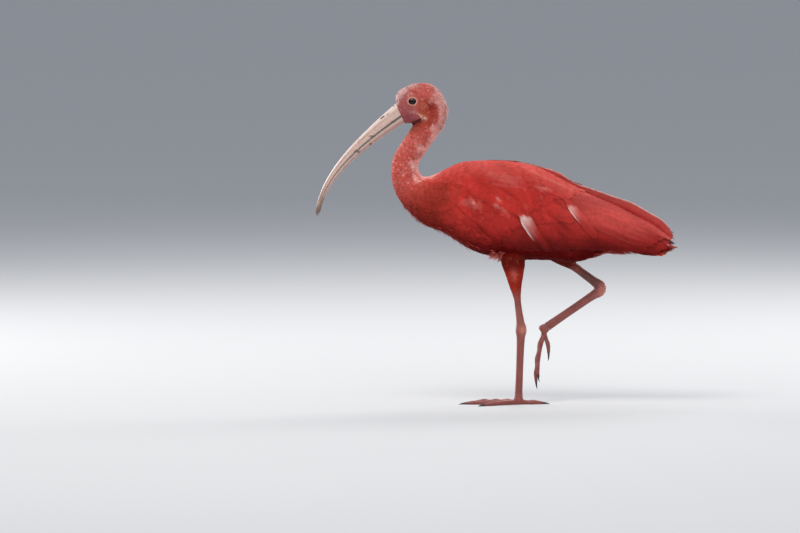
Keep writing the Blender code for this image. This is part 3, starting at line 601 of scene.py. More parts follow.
EYE = (-95.9, 349.5)
EYE_STRETCH = 1.08           # the lids open wider lengthwise than in height
GAPE = ((-98.5, 322.5), (-84.5, 329.8))      # fold below the bare malar skin, painted dark as its shade
STREAK = ((-94.0, 337.0), (-80.5, 332.2))    # pale streak above that fold
PALE_MARKS = (               # flecks of the near wing in its side view: line, width, share
    ((-1.0, 232.5), (13.5, 223.0), 1.7, 0.5), ((-27.5, 237.5), (-25.0, 234.0), 1.7, 0.5),
    ((1.0, 240.5), (3.5, 237.0), 1.6, 0.5), ((47.0, 251.0), (59.0, 249.0), 1.9, 0.42),
    ((-42.0, 237.0), (-20.0, 231.0), 4.0, 0.2), ((-6.0, 266.0), (22.0, 258.0), 5.0, 0.14),
    ((-8.0, 256.0), (31.0, 251.5), 1.2, 0.14), ((30.0, 274.0), (88.0, 246.5), 0.9, 0.25),
)
UNDERSIDE_SHADE_LINE = (                # x, and the height where the painted shade has half turned scarlet to dark red
    (-120, 233), (-100, 224), (-75, 212), (-40, 202), (0, 195), (60, 194), (120, 191), (200, 183),
)
FACE_EDGE = (                # height, and the x where bare skin gives way to feathers
    (316, -106), (321, -101), (325, -93), (329, -85.5), (333, -86.5), (338, -89), (344, -88.0),
    (350, -87.5), (355, -89), (359, -94), (363, -101), (368, -112),
)
FOREHEAD_EDGE = (            # height, and the x where the whitish forehead meets the lore
    (343, -115), (346, -112.0), (351, -110.0), (357, -106.5), (362, -100.5), (366, -92),
)
COAT_DEPTH = ((0, 0.8), (5, 1.0), (8, 1.5), (13, 2.2), (17, 3.0), (24, 3.0))
FEATHER_LENGTH = ((0, 2.6), (3, 3.0), (6, 3.8), (9, 5.6), (12, 8.5), (14, 12), (16, 16), (19, 19), (24, 24))
FEATHER_SPACING = ((0, 1.15), (3, 1.3), (6, 1.6), (9, 2.1), (12, 2.9), (14, 3.9), (16, 5.0), (19, 5.8), (24, 6.5))


def bare_face(x, z):
    """1 on the bare skin of the face, 0 on feathers"""
    edge = np.interp(z, *np.array(FACE_EDGE, float).T) + 1.4 * ripple(x, z, 1.4)
    return (1 - smooth(-1.6, 1.6, x - edge)) * smooth(317.5, 321.5, z + 0.8 * ripple(x, z, 1.1, 0.7))


def blend(color, other, share):
    return color + (other - color) * np.asarray(share)[..., None]


def face_tint(x, z):
    """Bare skin of the face, from the whitish forehead to the purple malar patch"""
    radius = np.hypot((x - EYE[0]) / EYE_STRETCH, (z - EYE[1]) * EYE_STRETCH)
    mottle = ripple(x, z, 0.9, 0.6) * ripple(x, z, 1.7, 1.9)
    coarse = ripple(x, z, 2.2, 0.2) * ripple(x, z, 1.3, 1.1)
    color = blend(HIDE["lore"], HIDE["malar"], smooth(344, 335, z))
    color = blend(color, HIDE["brow"], 0.75 * smooth(-97, -90, x) * smooth(336, 341, z))
    color = blend(color, HIDE["brow"], 0.8 * spot(x, z, (-92, 358.5), (8, 3.2)))
    color = blend(color, PLUME["ear"], 0.45 * smooth(0.1, 0.6, coarse))
    color = blend(color, HIDE["forehead"], 0.35 * smooth(0.1, 0.6, -coarse) * smooth(333, 339, z))
    front = smooth(1.6, -1.6, x - np.interp(z, *np.array(FOREHEAD_EDGE, float).T) - 1.2 * coarse)
    color = blend(color, HIDE["forehead"], 0.75 * front * smooth(342, 346, z))
    color = blend(color, HIDE["lore"], 0.6 * front * smooth(-0.1, 0.4, -mottle))
    color = blend(color, HIDE["spot"], 0.75 * front * smooth(345, 349, z) * smooth(0.08, 0.35, mottle))
    color = blend(color, HIDE["forehead"], 0.4 * smooth(0.1, 0.5, coarse) * spot(x, z, (-100, 356), (8, 5)))
    # painted highlight: a pale spot on the malar skin
    color = blend(color, HIDE["forehead"], 0.35 * spot(x, z, (-95.5, 337.5), (4, 2)) * smooth(-0.4, 0.4, coarse))
    color = blend(color, HIDE["malar"] * 0.6, 0.5 * spot(x, z, (-101.5, 330.5), (3, 4)))
    past = x - np.interp(z, *np.array(FACE_EDGE, float).T)
    color = blend(color, PLUME["cheek"], 0.75 * smooth(-5.0, -0.5, past + 1.5 * coarse) * smooth(-105, -100, x))
    color = blend(color, PLUME["throat"], 0.8 * smooth(324, 319.5, z + coarse))
    color = blend(color, HIDE["ring"], 0.85 * np.exp(-((radius - 4.9) / 0.6) ** 2))
    streak = np.exp(-(segment_distance(x, z, STREAK) / 1.3) ** 2)
    color = blend(color, PLUME["tan"], 0.6 * streak * smooth(-0.6, 0.2, coarse))
    # painted shade: darker at the lower edge of the face and in the fold below the malar skin
    fold = np.exp(-(segment_distance(x, z, GAPE) / 1.7) ** 2)
    color = blend(color, HIDE["crease shade"], 0.5 * smooth(323.5, 320.0, z + coarse) * smooth(-106, -101, x))
    return blend(color, HIDE["crease shade"], 0.95 * fold)


def body_tint(place, angle, x, z):
    """Plumage of head, neck and trunk, with coral painted as top light over the back and dark red painted as shade
    towards the belly
    """
    under = (1 - np.cos(angle)) / 2
    coarse = ripple(x, z, 1.7, 0.5) * ripple(x, z, 1.15, 1.6)
    color = blend(PLUME["crown"], PLUME["cheek"], smooth(360, 346, z) * smooth(-62, -74, x))
    color = blend(color, PLUME["ear"], 0.9 * spot(x, z, (-77.5, 347), (6.5, 6)))
    color = blend(color, PLUME["tan"], 0.85 * spot(x, z, (-87.0, 333.5), (5.0, 2.6)))
    color = blend(color, PLUME["tan"], 0.3 * spot(x, z, (-86.5, 345), (5, 7)) * smooth(-0.3, 0.5, coarse))
    streak = np.exp(-(segment_distance(x, z, STREAK) / 1.3) ** 2)
    color = blend(color, PLUME["white"], 0.6 * streak * smooth(-0.5, 0.3, -coarse))
    color = blend(color, PLUME["throat"], 0.85 * spot(x, z, (-94, 319), (10, 6)))
    # painted shade: a dark red line and the dark fold below the malar skin
    color = blend(color, PLUME["ear"], 0.7 * spot(x, z, (-92, 324.5), (8, 1.8)))
    color = blend(color, HIDE["crease shade"], 0.75 * np.exp(-(segment_distance(x, z, GAPE) / 1.5) ** 2))
    front = smooth(0.8, 0.45, np.abs(angle) + 0.2 * coarse) * smooth(3.6, 2.4, place)
    color = blend(color, HIDE["forehead"], 0.75 * front)
    color = blend(color, HIDE["spot"], 0.5 * front * smooth(0.15, 0.5, coarse))
    color = blend(color, PLUME["tan"], 0.35 * smooth(0.1, 0.6, -coarse) * spot(x, z, (-93, 361), (11, 6)))
    uneven = 0.16 * ripple(x, z, 3.4, 0.9) + 0.1 * coarse
    pale_to = mix(0.4, 0.14, smooth(9.5, 12.5, place))
    neck = blend(PLUME["neck"], PLUME["neck rear"], smooth(pale_to, 0.02, under + uneven))
    color = blend(color, neck, smooth(5.5, 8.0, place))
    rear = smooth(0.3, 0.04, under + uneven) * smooth(3.6, 5.0, place) * smooth(10, 7, place)
    color = blend(color, PLUME["neck rear"], 0.9 * rear)
    speckle = mix(0.22, 0.36, smooth(5, 8, place))
    color = blend(color, PLUME["ear"], speckle * (1 - 0.8 * rear) * smooth(0.05, 0.6, coarse) * smooth(12, 9, place))
    color = blend(color, PLUME["neck rear"], 0.85 * speckle * smooth(0.05, 0.6, -coarse) * smooth(13, 10, place))
    # painted top light: coral over the top of the trunk
    trunk = blend(PLUME["coral top light"], PLUME["scarlet"], smooth(0.03, 0.25, under))
    # painted shade: darker breast colour on the side and underside of the front
    trunk = blend(trunk, PLUME["breast"], 0.85 * smooth(16.2, 14.6, place + 2 * uneven) * smooth(0.08, 0.32, under))
    # painted shade: scarlet turns dark red towards the belly
    trunk = blend(trunk, PLUME["shade maroon"], underside_shade(x, z))
    return blend(color, trunk, smooth(11.5, 14.5, place))


def underside_shade(x, z):
    """Share of dark red painted as shade, which grows towards the belly"""
    middle = np.interp(x, *np.array(UNDERSIDE_SHADE_LINE, float).T)
    return smooth(22, -22, z - middle + 3 * ripple(x, z, 13, 1.0))


def wing_tint(side, x, angle):
    """Plumage of the closed wing: coral painted as top light above, dark red painted as shade below,
    soft streaks along its feathers, partly painted light and shade on their clumped folds and in
    their creases, and the near wing's few pale flecks"""
    z = WINGS[side].base(x, angle)[..., 2]
    turn = np.degrees(angle)
    # painted top light: coral over the top of the wing and over the tertials
    color = blend(PLUME["coral top light"], PLUME["wing"], smooth(20, 64, turn + 10 * ripple(x, turn, 17, 0.4)))
    color = blend(color, PLUME["coral top light"], 0.85 * smooth(60, 110, x) * smooth(100, 60, turn) * smooth(200, 150, x))
    # painted shade: dark red towards the lower edge of the wing
    color = blend(color, PLUME["shade maroon"], underside_shade(x, z))
    along, across = feather_lie(x, z)
    # painted light and shade: the first streak rises and falls with the wing's folds
    uneven = 0.09 * ripple(along / 4.5, across, 2.7, 0.15) + 0.09 * ripple(along / 2.2, across, 5.5, 0.1)
    # painted shade: darker along the near wing's creases
    if side == "left":
        for start, end, depth in CREASES:
            uneven = uneven - 0.45 * depth * np.exp(-(segment_distance(x, z, (start, end)) / 1.6) ** 2)
    color = color * (1 + uneven + 0.05 * ripple(x, z, 9, 0.3))[..., None]
    if side == "left":
        for start, end, width, share in PALE_MARKS:
            mark = np.exp(-(segment_distance(x, z, (start, end)) / width) ** 2)
            color = blend(color, PLUME["faded"], share * smooth(0.1, 0.9, mark * (1 + 0.6 * ripple(x, z, 1.3, 0.8))))
    return color


# Materials

def new_material(name, roughness, specular=0.5, sheen=0.0, coat=0.0, subsurface=0.0, mottle=(900, 0.12)):
    """A material that takes each point's colour, unevened by fine noise"""
    material = bpy.data.materials.new(name)
    material.use_nodes = True
    nodes, links = material.node_tree.nodes, material.node_tree.links
    shader = nodes["Principled BSDF"]
    shader.inputs["Roughness"].default_value = roughness
    shader.inputs["Specular IOR Level"].default_value = specular
    shader.inputs["Sheen Weight"].default_value = sheen
    shader.inputs["Sheen Roughness"].default_value = 0.2
    shader.inputs["Sheen Tint"].default_value = (1.0, 0.72, 0.68, 1)
    shader.inputs["Coat Weight"].default_value = coat
    shader.inputs["Coat Roughness"].default_value = 0.12
    shader.inputs["Subsurface Weight"].default_value = subsurface
    shader.inputs["Subsurface Radius"].default_value = (0.004, 0.0015, 0.001)
    shader.inputs["Subsurface Scale"].default_value = 1.0
    tint = nodes.new("ShaderNodeAttribute")
    tint.attribute_name = "Tint"
    place = nodes.new("ShaderNodeTexCoord")
    noise = nodes.new("ShaderNodeTexNoise")
    noise.inputs["Scale"].default_value = mottle[0]
    noise.inputs["Detail"].default_value = 4.0
    span = nodes.new("ShaderNodeMapRange")
    span.inputs["From Min"].default_value = 0.3
    span.inputs["From Max"].default_value = 0.7
    span.inputs["To Min"].default_value = 1 - mottle[1]
    span.inputs["To Max"].default_value = 1 + mottle[1]
    scaled = nodes.new("ShaderNodeVectorMath")
    scaled.operation = "SCALE"
    links.new(place.outputs["Object"], noise.inputs["Vector"])
    links.new(noise.outputs["Fac"], span.inputs["Value"])
    links.new(tint.outputs["Color"], scaled.inputs[0])
    links.new(span.outputs["Result"], scaled.inputs["Scale"])
    links.new(scaled.outputs["Vector"], shader.inputs["Base Color"])
    return material


def add_bump(material, height, distance, strength=0.6):
    """Raise the surface by a node's output, on top of any bump already there"""
    nodes, links = material.node_tree.nodes, material.node_tree.links
    shader = nodes["Principled BSDF"]
    bump = nodes.new("ShaderNodeBump")
    bump.inputs["Distance"].default_value = distance
    bump.inputs["Strength"].default_value = strength
    links.new(height, bump.inputs["Height"])
    if shader.inputs["Normal"].is_linked:
        links.new(shader.inputs["Normal"].links[0].from_socket, bump.inputs["Normal"])
    links.new(bump.outputs["Normal"], shader.inputs["Normal"])


def noise_height(material, scale, detail=3.0):
    nodes, links = material.node_tree.nodes, material.node_tree.links
    place = nodes.new("ShaderNodeTexCoord")
    noise = nodes.new("ShaderNodeTexNoise")
    noise.inputs["Scale"].default_value = scale
    noise.inputs["Detail"].default_value = detail
    links.new(place.outputs["Object"], noise.inputs["Vector"])
    return noise.outputs["Fac"]


def cell_height(material, scale):
    """Small rounded scales or pimples"""
    nodes, links = material.node_tree.nodes, material.node_tree.links
    place = nodes.new("ShaderNodeTexCoord")
    cells = nodes.new("ShaderNodeTexVoronoi")
    cells.feature = "DISTANCE_TO_EDGE"
    cells.inputs["Scale"].default_value = scale
    links.new(place.outputs["Object"], cells.inputs["Vector"])
    return cells.outputs["Distance"]


def barb_height(material, spacing):
    """Fine barbs that slant away from each feather's shaft, read from its own map"""
    nodes, links = material.node_tree.nodes, material.node_tree.links
    own = nodes.new("ShaderNodeUVMap")
    own.uv_map = "Vane"
    parts = nodes.new("ShaderNodeSeparateXYZ")
    links.new(own.outputs["UV"], parts.inputs["Vector"])
    last = parts.outputs["Y"]
    for operation, value in (("ABSOLUTE", 0), ("MULTIPLY", -1.3)):
        step = nodes.new("ShaderNodeMath")
        step.operation = operation
        links.new(last, step.inputs[0])
        step.inputs[1].default_value = value
        last = step.outputs["Value"]
    total = nodes.new("ShaderNodeMath")
    links.new(parts.outputs["X"], total.inputs[0])
    links.new(last, total.inputs[1])
    turns = nodes.new("ShaderNodeMath")
    turns.operation = "MULTIPLY"
    links.new(total.outputs["Value"], turns.inputs[0])
    turns.inputs[1].default_value = 2 * pi / (spacing * MM)
    wave = nodes.new("ShaderNodeMath")
    wave.operation = "SINE"
    links.new(turns.outputs["Value"], wave.inputs[0])
    return wave.outputs["Value"]


def make_materials():
    made = {
        "down": new_material("soft plumage", 0.9, 0.05, sheen=0.14, mottle=(420, 0.07)),
        "vane": new_material("feather vanes", 0.7, 0.08, sheen=0.08, mottle=(260, 0.12)),
        "skin": new_material("skin", 0.55, 0.4, subsurface=0.12, mottle=(700, 0.24)),
        "leg": new_material("leg skin", 0.36, 0.5, mottle=(500, 0.22)),
        "bill": new_material("bill horn", 0.36, 0.5, coat=0.25, subsurface=0.1, mottle=(330, 0.07)),
        "claw": new_material("claw horn", 0.35, 0.5, mottle=(900, 0.15)),
        "eye": new_material("eye", 0.05, 0.3, mottle=(600, 0.2)),
    }
    add_bump(made["down"], noise_height(made["down"], 1400), 0.0003, 0.3)
    add_bump(made["vane"], barb_height(made["vane"], 0.8), 0.00012, 0.4)
    add_bump(made["skin"], cell_height(made["skin"], 900), 0.0003, 0.5)
    add_bump(made["leg"], cell_height(made["leg"], 520), 0.0005, 0.8)
    add_bump(made["bill"], noise_height(made["bill"], 600), 0.0002, 0.35)
    add_bump(made["claw"], noise_height(made["claw"], 500), 0.0002, 0.4)
    return made


# Skin

def coat_depth(place, x, z):
    """How far the skin lies inside the feathered outline"""
    return read_at(COAT_DEPTH, place)[..., 0] * (1 - bare_face(x, z)) + 0.1 * bare_face(x, z)


def face_relief(x, y, z):
    """Rise of the skin round the eye, on the cheek and at the fold below it"""
    radius = np.hypot((x - EYE[0]) / EYE_STRETCH, (z - EYE[1]) * EYE_STRETCH)
    rise = 0.45 * np.exp(-((radius - 6.2) / 1.1) ** 2) - 1.0 * np.exp(-(radius / 4.6) ** 4)
    rise += 0.7 * spot(x, z, (-97, 357.5), (8, 2.2)) - 0.7 * spot(x, z, (-106.5, 341), (4, 5))
    rise += 0.8 * spot(x, z, (-97, 330.5), (8, 4.5))
    rise -= 1.3 * np.exp(-(segment_distance(x, z, GAPE) / 0.8) ** 2)
    rise += 0.12 * ripple(x, z, 0.8, 0.5) * ripple(x, z, 0.5, 2.0)
    return rise * smooth(1.5, 5, np.abs(y))


def skin_rings(surface, places, sides, depth):
    """Rings of points at a depth, with their places on the unwrap"""
    u = np.tile(places[:, None], (1, sides))
    v = np.tile(-pi + 2 * pi * np.arange(sides) / sides, (len(places), 1))
    here, _, _, normal = surface.frame(u, v)
    return here - normal * depth(u, here)[..., None], surface.unwrap(u, v)


def wrapped_tube(name, rings, uv, turn):
    """A tube whose unwrap runs on past its seam by one turn"""
    obj = tube(name, rings, np.zeros(rings.shape), uv)
    layer = obj.data.uv_layers["OFBake"].data
    values = np.zeros(len(layer) * 2, np.float32)
    layer.foreach_get("uv", values)
    values = values.reshape(-1, 3, 2)
    low, high = values[..., 1].min(1), values[..., 1].max(1)
    seam = (high - low) > turn / 2
    values[..., 1] += turn * (seam[:, None] & (values[..., 1] < low[:, None] + turn / 2))
    layer.foreach_set("uv", values.ravel())
    return obj


def make_skin(materials):
    """One skin over head, neck, trunk, wing roots, tail base and thighs"""
    places = np.concatenate((np.linspace(0.01, 6.5, 130, endpoint=False), np.linspace(6.5, 21.98, 130)))

    def trunk_depth(place, here):
        x, y, z = np.moveaxis(here, -1, 0)
        return coat_depth(place, x, z) - face_relief(x, y, z) * bare_face(x - 3, z)

    rings, uv = skin_rings(TRUNK, places, 120, trunk_depth)
    skin = wrapped_tube("skin", rings, uv, TRUNK.patch[3])
    parts = []
    for side, leg in LEG.items():
        rings, uv = skin_rings(leg, np.linspace(0.05, THIGH_END, 30), 28, lambda place, here: np.full(place.shape, 1.0))
        thigh = wrapped_tube("thigh part", rings, uv, leg.patch[3])
        parts.append(thigh)
    for side, wing in WINGS.items():
        parts.append(wing_root(side, wing))
    parts.append(tail_base_part())
    for part in parts:
        orient(part)
    orient(skin)
    group = bpy.data.collections.new("skin parts")
    for part in parts:
        group.objects.link(part)
    union = skin.modifiers.new("union", "BOOLEAN")
    union.operand_type = "COLLECTION"
    union.collection = group
    union.operation = "UNION"
    union.solver = "MANIFOLD"
    graph = bpy.context.evaluated_depsgraph_get()
    skin.data = bpy.data.meshes.new_from_object(skin.evaluated_get(graph))
    skin.modifiers.clear()
    for part in parts:
        bpy.data.objects.remove(part)
    bpy.data.collections.remove(group)
    skin.data.shade_smooth()
    x, y, z = points_of(skin).T
    place, angle = nearest_place(x, y, z)
    tint = blend(body_tint(place, angle, x, z) * 0.9, face_tint(x, z), bare_face(x, z) * smooth(-80, -84, x))
    paint(skin, tint)
    return place_piece(skin, materials["skin"],
                       ("head", "neck_upper", "neck_lower", "torso", "thigh_left", "thigh_right"))


def orient(obj):
    """Turn a closed mesh's faces outward"""
    body = bmesh.new()
    body.from_mesh(obj.data)
    bmesh.ops.recalc_face_normals(body, faces=body.faces)
    if body.calc_volume(signed=True) < 0:
        bmesh.ops.reverse_faces(body, faces=body.faces)
    body.to_mesh(obj.data)
    body.free()


def nearest_place(x, y, z):
    """Fractional section and angle of points near the trunk"""
    places = np.linspace(0, 22, 89)
    dx, dz, vx, vz, _, _ = np.moveaxis(spline(section_rows(False), places), -1, 0)
    up = unit(np.stack((dx - vx, dz - vz), -1))
    offset = np.stack((x[:, None] - (dx + vx) / 2, z[:, None] - (dz + vz) / 2), -1)
    height = dot(offset, up)
    away = np.abs(offset[..., 0] * up[:, 1] - offset[..., 1] * up[:, 0])
    half = np.hypot(dx - vx, dz - vz) / 2
    best = (away + 3 * np.maximum(np.abs(height) - half, 0)).argmin(1)
    row = np.arange(len(x))
    return places[best], np.arccos(np.clip(height[row, best] / half[best], -1, 1)) * np.sign(y + 1e-9)


def wing_root(side, wing):
    """The fleshed wing under its feathers"""
    x, share = np.meshgrid(np.linspace(-40, 88, 40), np.linspace(0, 1, 26), indexing="ij")
    low = np.interp(x, (-40, 0, 40, 88), (94, 116, 120, 110))
    angle = np.radians(mix(np.interp(x, (-40, 88), (40, 32)), low, share))
    outer = wing.point(x, angle, np.full(x.shape, -1.6) - 3.0 * np.abs(2 * share - 1) ** 6)
    inner = wing.point(x, angle, np.full(x.shape, -9.0))[:, ::-1]
    uv = wing.unwrap(x, angle)
    rings = np.concatenate((outer, inner), 1)
    return tube("wing part", rings, np.zeros(rings.shape), np.concatenate((uv, uv[:, ::-1]), 1))


def tail_base_part():
    x = np.linspace(TAIL_BASE[0][0], TAIL_BASE[-1][0], 24)
    middle, height, width = (column[:, None] for column in read_at(TAIL_BASE, x).T)
    angle = 2 * pi * np.arange(40) / 40
    rings = np.stack((x[:, None] + 0 * angle, (width - 1) * np.sin(angle), middle + (height - 1.5) * np.cos(angle)), -1)
    uv = TAIL.unwrap(rings[..., 0], rings[..., 1])
    return tube("tail part", rings, np.zeros(rings.shape), uv)


def cheek_y(x, z):
    """Half width of the head at a place of the side view"""
    u, v = np.meshgrid(np.linspace(0, 6, 121), np.linspace(0, pi, 91), indexing="ij")
    points = TRUNK.base(u, v)
    near = (points[..., 0] - x) ** 2 + (points[..., 2] - z) ** 2
    return points[np.unravel_index(near.argmin(), near.shape)][1]


EYE_RADIUS = 5.3
EYE_SINK = 3.5
LID_PROFILE = (              # distance from the eye's middle and height over the cheek
    (3.95, 0.55), (4.15, 0.95), (4.5, 1.1), (5.0, 0.95), (5.7, 0.45), (6.6, -0.4), (6.2, -1.2), (4.4, -0.9),
)


def make_eyes(materials):
    """Glossy eyeballs, and the lids that ring them"""
    depth = cheek_y(*EYE)
    for side, sign in (("left", -1), ("right", 1)):
        bpy.ops.mesh.primitive_uv_sphere_add(segments=64, ring_count=40, radius=EYE_RADIUS * MM)
        ball = bpy.context.active_object
        ball.name = "eyeball_" + side
        points = points_of(ball)
        outward = points[:, 2] / EYE_RADIUS
        reach = np.hypot(points[:, 0], points[:, 1])
        tint = np.tile(srgb(14, 10, 9), (len(points), 1))
        # painted highlight: olive-green on the upper part of the eye
        upper = smooth(0.5, 2.6, points[:, 1]) * smooth(1.6, 2.6, reach)
        tint = blend(tint, srgb(74, 72, 44), 0.8 * smooth(0.5, 0.8, outward) * upper)
        tint = blend(tint, srgb(4, 3, 3), smooth(2.3, 1.9, reach) * (outward > 0))
        turned = np.stack((points[:, 0], sign * points[:, 2], points[:, 1]), -1)
        turned += np.array((EYE[0], sign * (depth - EYE_SINK), EYE[1]))
        ball.data.vertices.foreach_set("co", (turned * MM).astype(np.float32).ravel())
        ball.data.update()
        if sign > 0:
            ball.data.flip_normals()
        ball.data.shade_smooth()
        paint(ball, tint)
        place_piece(ball, materials["eye"], ("eye_" + side,))
        make_lids(side, sign, depth, materials)


def make_lids(side, sign, depth, materials):
    around = 2 * pi * np.arange(96) / 96
    radius, rise = np.array(LID_PROFILE, float).T
    swell = 1 + 0.012 * np.sin(17 * around) + 0.01 * np.sin(31 * around)
    reach = radius * swell[:, None]
    x = EYE[0] + reach * np.cos(around)[:, None] * EYE_STRETCH
    z = EYE[1] + reach * np.sin(around)[:, None] / EYE_STRETCH
    out = depth + rise + 0.15 * np.cos(3 * around)[:, None] - 0.025 * (x - EYE[0])
    points = np.stack((x, sign * out, z), -1)
    count = len(LID_PROFILE)
    k, j = np.meshgrid(np.arange(96), np.arange(count), indexing="ij")
    a, b = k * count + j, k * count + (j + 1) % count
    c, d = ((k + 1) % 96) * count + (j + 1) % count, ((k + 1) % 96) * count + j
    faces = np.stack((a, b, c, d), -1).reshape(-1, 4)
    tint = face_tint(x, z)
    tint = blend(tint, HIDE["ring"], 0.9 * np.exp(-((radius - 4.5) / 0.45) ** 2)[None] * np.ones_like(x))
    # painted shade: dark where the lids meet the eyeball
    tint = blend(tint, HIDE["crease shade"] * 0.5, 0.9 * smooth(4.2, 3.95, radius)[None] * np.ones_like(x))
    lids = new_mesh_object("lids_" + side, points.reshape(-1, 3), faces, tint.reshape(-1, 3))
    orient(lids)
    lids.data.shade_smooth()
    place_piece(lids, materials["skin"])


# Coat of body feathers

def staggered_roots(surface, first, last, spacing, flank, full=pi):
    """Feather roots in staggered rows across a surface, evenly spaced by length. flank is the
    second coordinate of the line that the rows are counted along"""
    roots = []
    u, row = first, 0
    around = np.linspace(-full, full, 121) if full == pi else np.linspace(*full, 121)
    while u < last:
        ring = surface.base(np.full(around.shape, u), around)
        length = np.concatenate(([0], np.cumsum(np.linalg.norm(np.diff(ring, axis=0), axis=1))))
        count = max(int(length[-1] / (spacing(u) * 1.05)), 3)
        shares = (np.arange(count) + 0.5 * (row % 2) + 0.25) / count * length[-1]
        angles = np.interp(shares, length, around)
        roots.append(np.stack((np.full(count, u), angles), -1))
        speed = np.linalg.norm(surface.base(np.array([u + 0.01]), np.array([flank]))
                               - surface.base(np.array([u]), np.array([flank]))) / 0.01
        u += spacing(u) * 0.9 / speed
        row += 1
    return np.concatenate(roots)


def step_from(surface, roots, length, lie):
    """Tips that lie a given length from their roots, turned by lie from the first coordinate"""
    _, along_u, along_v, normal = surface.frame(roots[:, 0], roots[:, 1])
    ahead = unit(along_u)
    side = np.cross(normal, ahead) * surface.outward
    way = ahead * np.cos(lie)[:, None] + side * np.sin(lie)[:, None]
    uu, uv, vv = dot(along_u, along_u), dot(along_u, along_v), dot(along_v, along_v)
    to_u, to_v = dot(way, along_u), dot(way, along_v)
    area = uu * vv - uv * uv
    step = np.stack(((to_u * vv - to_v * uv) / area, (to_v * uu - to_u * uv) / area), -1)
    return roots + step * length[:, None]


def feather_tints(color, tip, tip_share, root_shade=0.82, spread=0.05):
    """Colours along each feather: painted shade at the root, its own colour, and a paler or darker tip"""
    own = color * (1 + rng.normal(0, spread, (len(color), 1)))

    def tints(s, c, places):
        shade = mix(root_shade, 1.0, smooth(0.05, 0.6, s))[..., None]
        share = (np.asarray(tip_share)[:, None] * smooth(0.6, 1.0, s))[..., None]
        return own[:, None] * shade * (1 - share) + tip[:, None] * share

    return tints


def body_coat(roots, template, lift_at, tip_at):
    """Feathers over a stretch of head, neck or trunk"""
    places, angles = roots.T
    spacing = read_at(FEATHER_SPACING, places)[:, 0]
    x, _, z = BODY.base(places, angles).T
    lengths = read_at(FEATHER_LENGTH, places)[:, 0] * rng.uniform(0.88, 1.14, len(roots))
    tips = step_from(BODY, roots, lengths, rng.normal(0, 0.10, len(roots)))
    tips[:, 0] = np.minimum(tips[:, 0], 23.8)
    color = body_tint(places, angles, x, z)
    color = color * (1 + 0.10 * ripple(x, z, 6.0, 0.3) * ripple(x, z, 9.0, 1.8))[:, None]
    spread = mix(0.11, 0.05, smooth(9, 15, places))[:, None]
    share, tip_color = tip_at(places, angles, x, z)
    low, high = lift_at(places, angles)
    high = high + rng.normal(0, 0.10, len(roots)) * spacing / 3
    return lay_feathers(BODY, roots, tips, spacing * 1.9, template, (low, high),
                        feather_tints(color, tip_color, share, spread=spread), thickness=0.1,
                        camber=0.05 * spacing.mean(), rag=0.12, softness=0.19)


def spacing_at(place):
    return float(read_at(FEATHER_SPACING, np.array([place]))[0, 0])


def trunk_lifts(places, angles):
    """Heights of a feather's root and tip over the trunk's outline. Beside the back the tips
    rise to lie over the roots of the wing's feathers"""
    depth = read_at(COAT_DEPTH, places)[:, 0]
    beside = smooth(15.6, 16.4, places) * smooth(0.35, 0.75, np.abs(angles)) * smooth(1.6, 1.2, np.abs(angles))
    return -0.1 - 0.16 * depth + 1.4 * beside, 0.15 + 1.6 * beside


def loose_feathers(roots, lengths, lie, widths, lifts, color, tip, tip_share):
    """Narrow frayed feathers that stand a little off the coat"""
    tips = step_from(BODY, roots, lengths, lie)
    tips[:, 0] = np.minimum(tips[:, 0], 23.8)
    return lay_feathers(BODY, roots, tips, widths, barb_template(5, 0.8), lifts,
                        feather_tints(color, np.tile(tip, (len(roots), 1)), tip_share),
                        thickness=0.08, camber=0.1, rag=0.25, softness=0.3)


def nape_feathers():
    """Ragged pale tips down the back of the head, whose white is partly pale plumage and partly painted backlight"""
    count = 300
    roots = np.stack((rng.uniform(3.4, 7.4, count), rng.normal(0, 0.34, count)), -1)
    x, _, z = BODY.base(*roots.T).T
    color = blend(body_tint(*roots.T, x, z), PLUME["neck rear"], 0.75)
    shown = smooth(3.4, 4.8, roots[:, 0])
    rise = 0.2 + rng.uniform(0.5, 3.6, count) * shown
    lengths, lie = rng.uniform(4.0, 7.5, count), rng.normal(0, 0.25, count)
    # the white tips are partly pale plumage and partly a painted rim of light from behind
    return loose_feathers(roots, lengths, lie, rng.uniform(1.3, 2.3, count), (-0.6, rise), color,
                          PLUME["white"], rng.uniform(0.5, 1.0, count) * shown)


def thigh_tuft():
    """Loose down in front of the standing leg"""
    count = 90
    roots = np.stack((rng.uniform(17.55, 17.95, count), rng.uniform(-3.0, -2.6, count)), -1)
    color = np.tile(blend(PLUME["scarlet"], PLUME["pink"], 0.4), (count, 1))
    return loose_feathers(roots, rng.uniform(3.0, 8.5, count), pi + rng.normal(0, 0.6, count), np.full(count, 2.6),
                          (0.0, rng.uniform(1.5, 8.5, count)), color, PLUME["neck rear"], np.full(count, 0.55))


def breast_fringe():
    """Loose feathers along the lower edge of the breast, with pink tips painted as light from behind"""
    count = 90
    turn = rng.uniform(2.6, pi, count) * np.where(rng.random(count) < 0.5, -1, 1)
    roots = np.stack((rng.uniform(13.4, 17.0, count), turn), -1)
    x, _, z = BODY.base(*roots.T).T
    lengths, lie = rng.uniform(6, 12, count), rng.normal(0, 0.3, count)
    # painted light: the fringe's pink tips stand in for light shining through them from behind
    color = blend(body_tint(*roots.T, x, z), PLUME["scarlet"], 0.4)
    return loose_feathers(roots, lengths, lie, np.full(count, 2.4), (-0.4, rng.uniform(0.6, 3.4, count)),
                          color, PLUME["pink"], rng.uniform(0.15, 0.65, count))


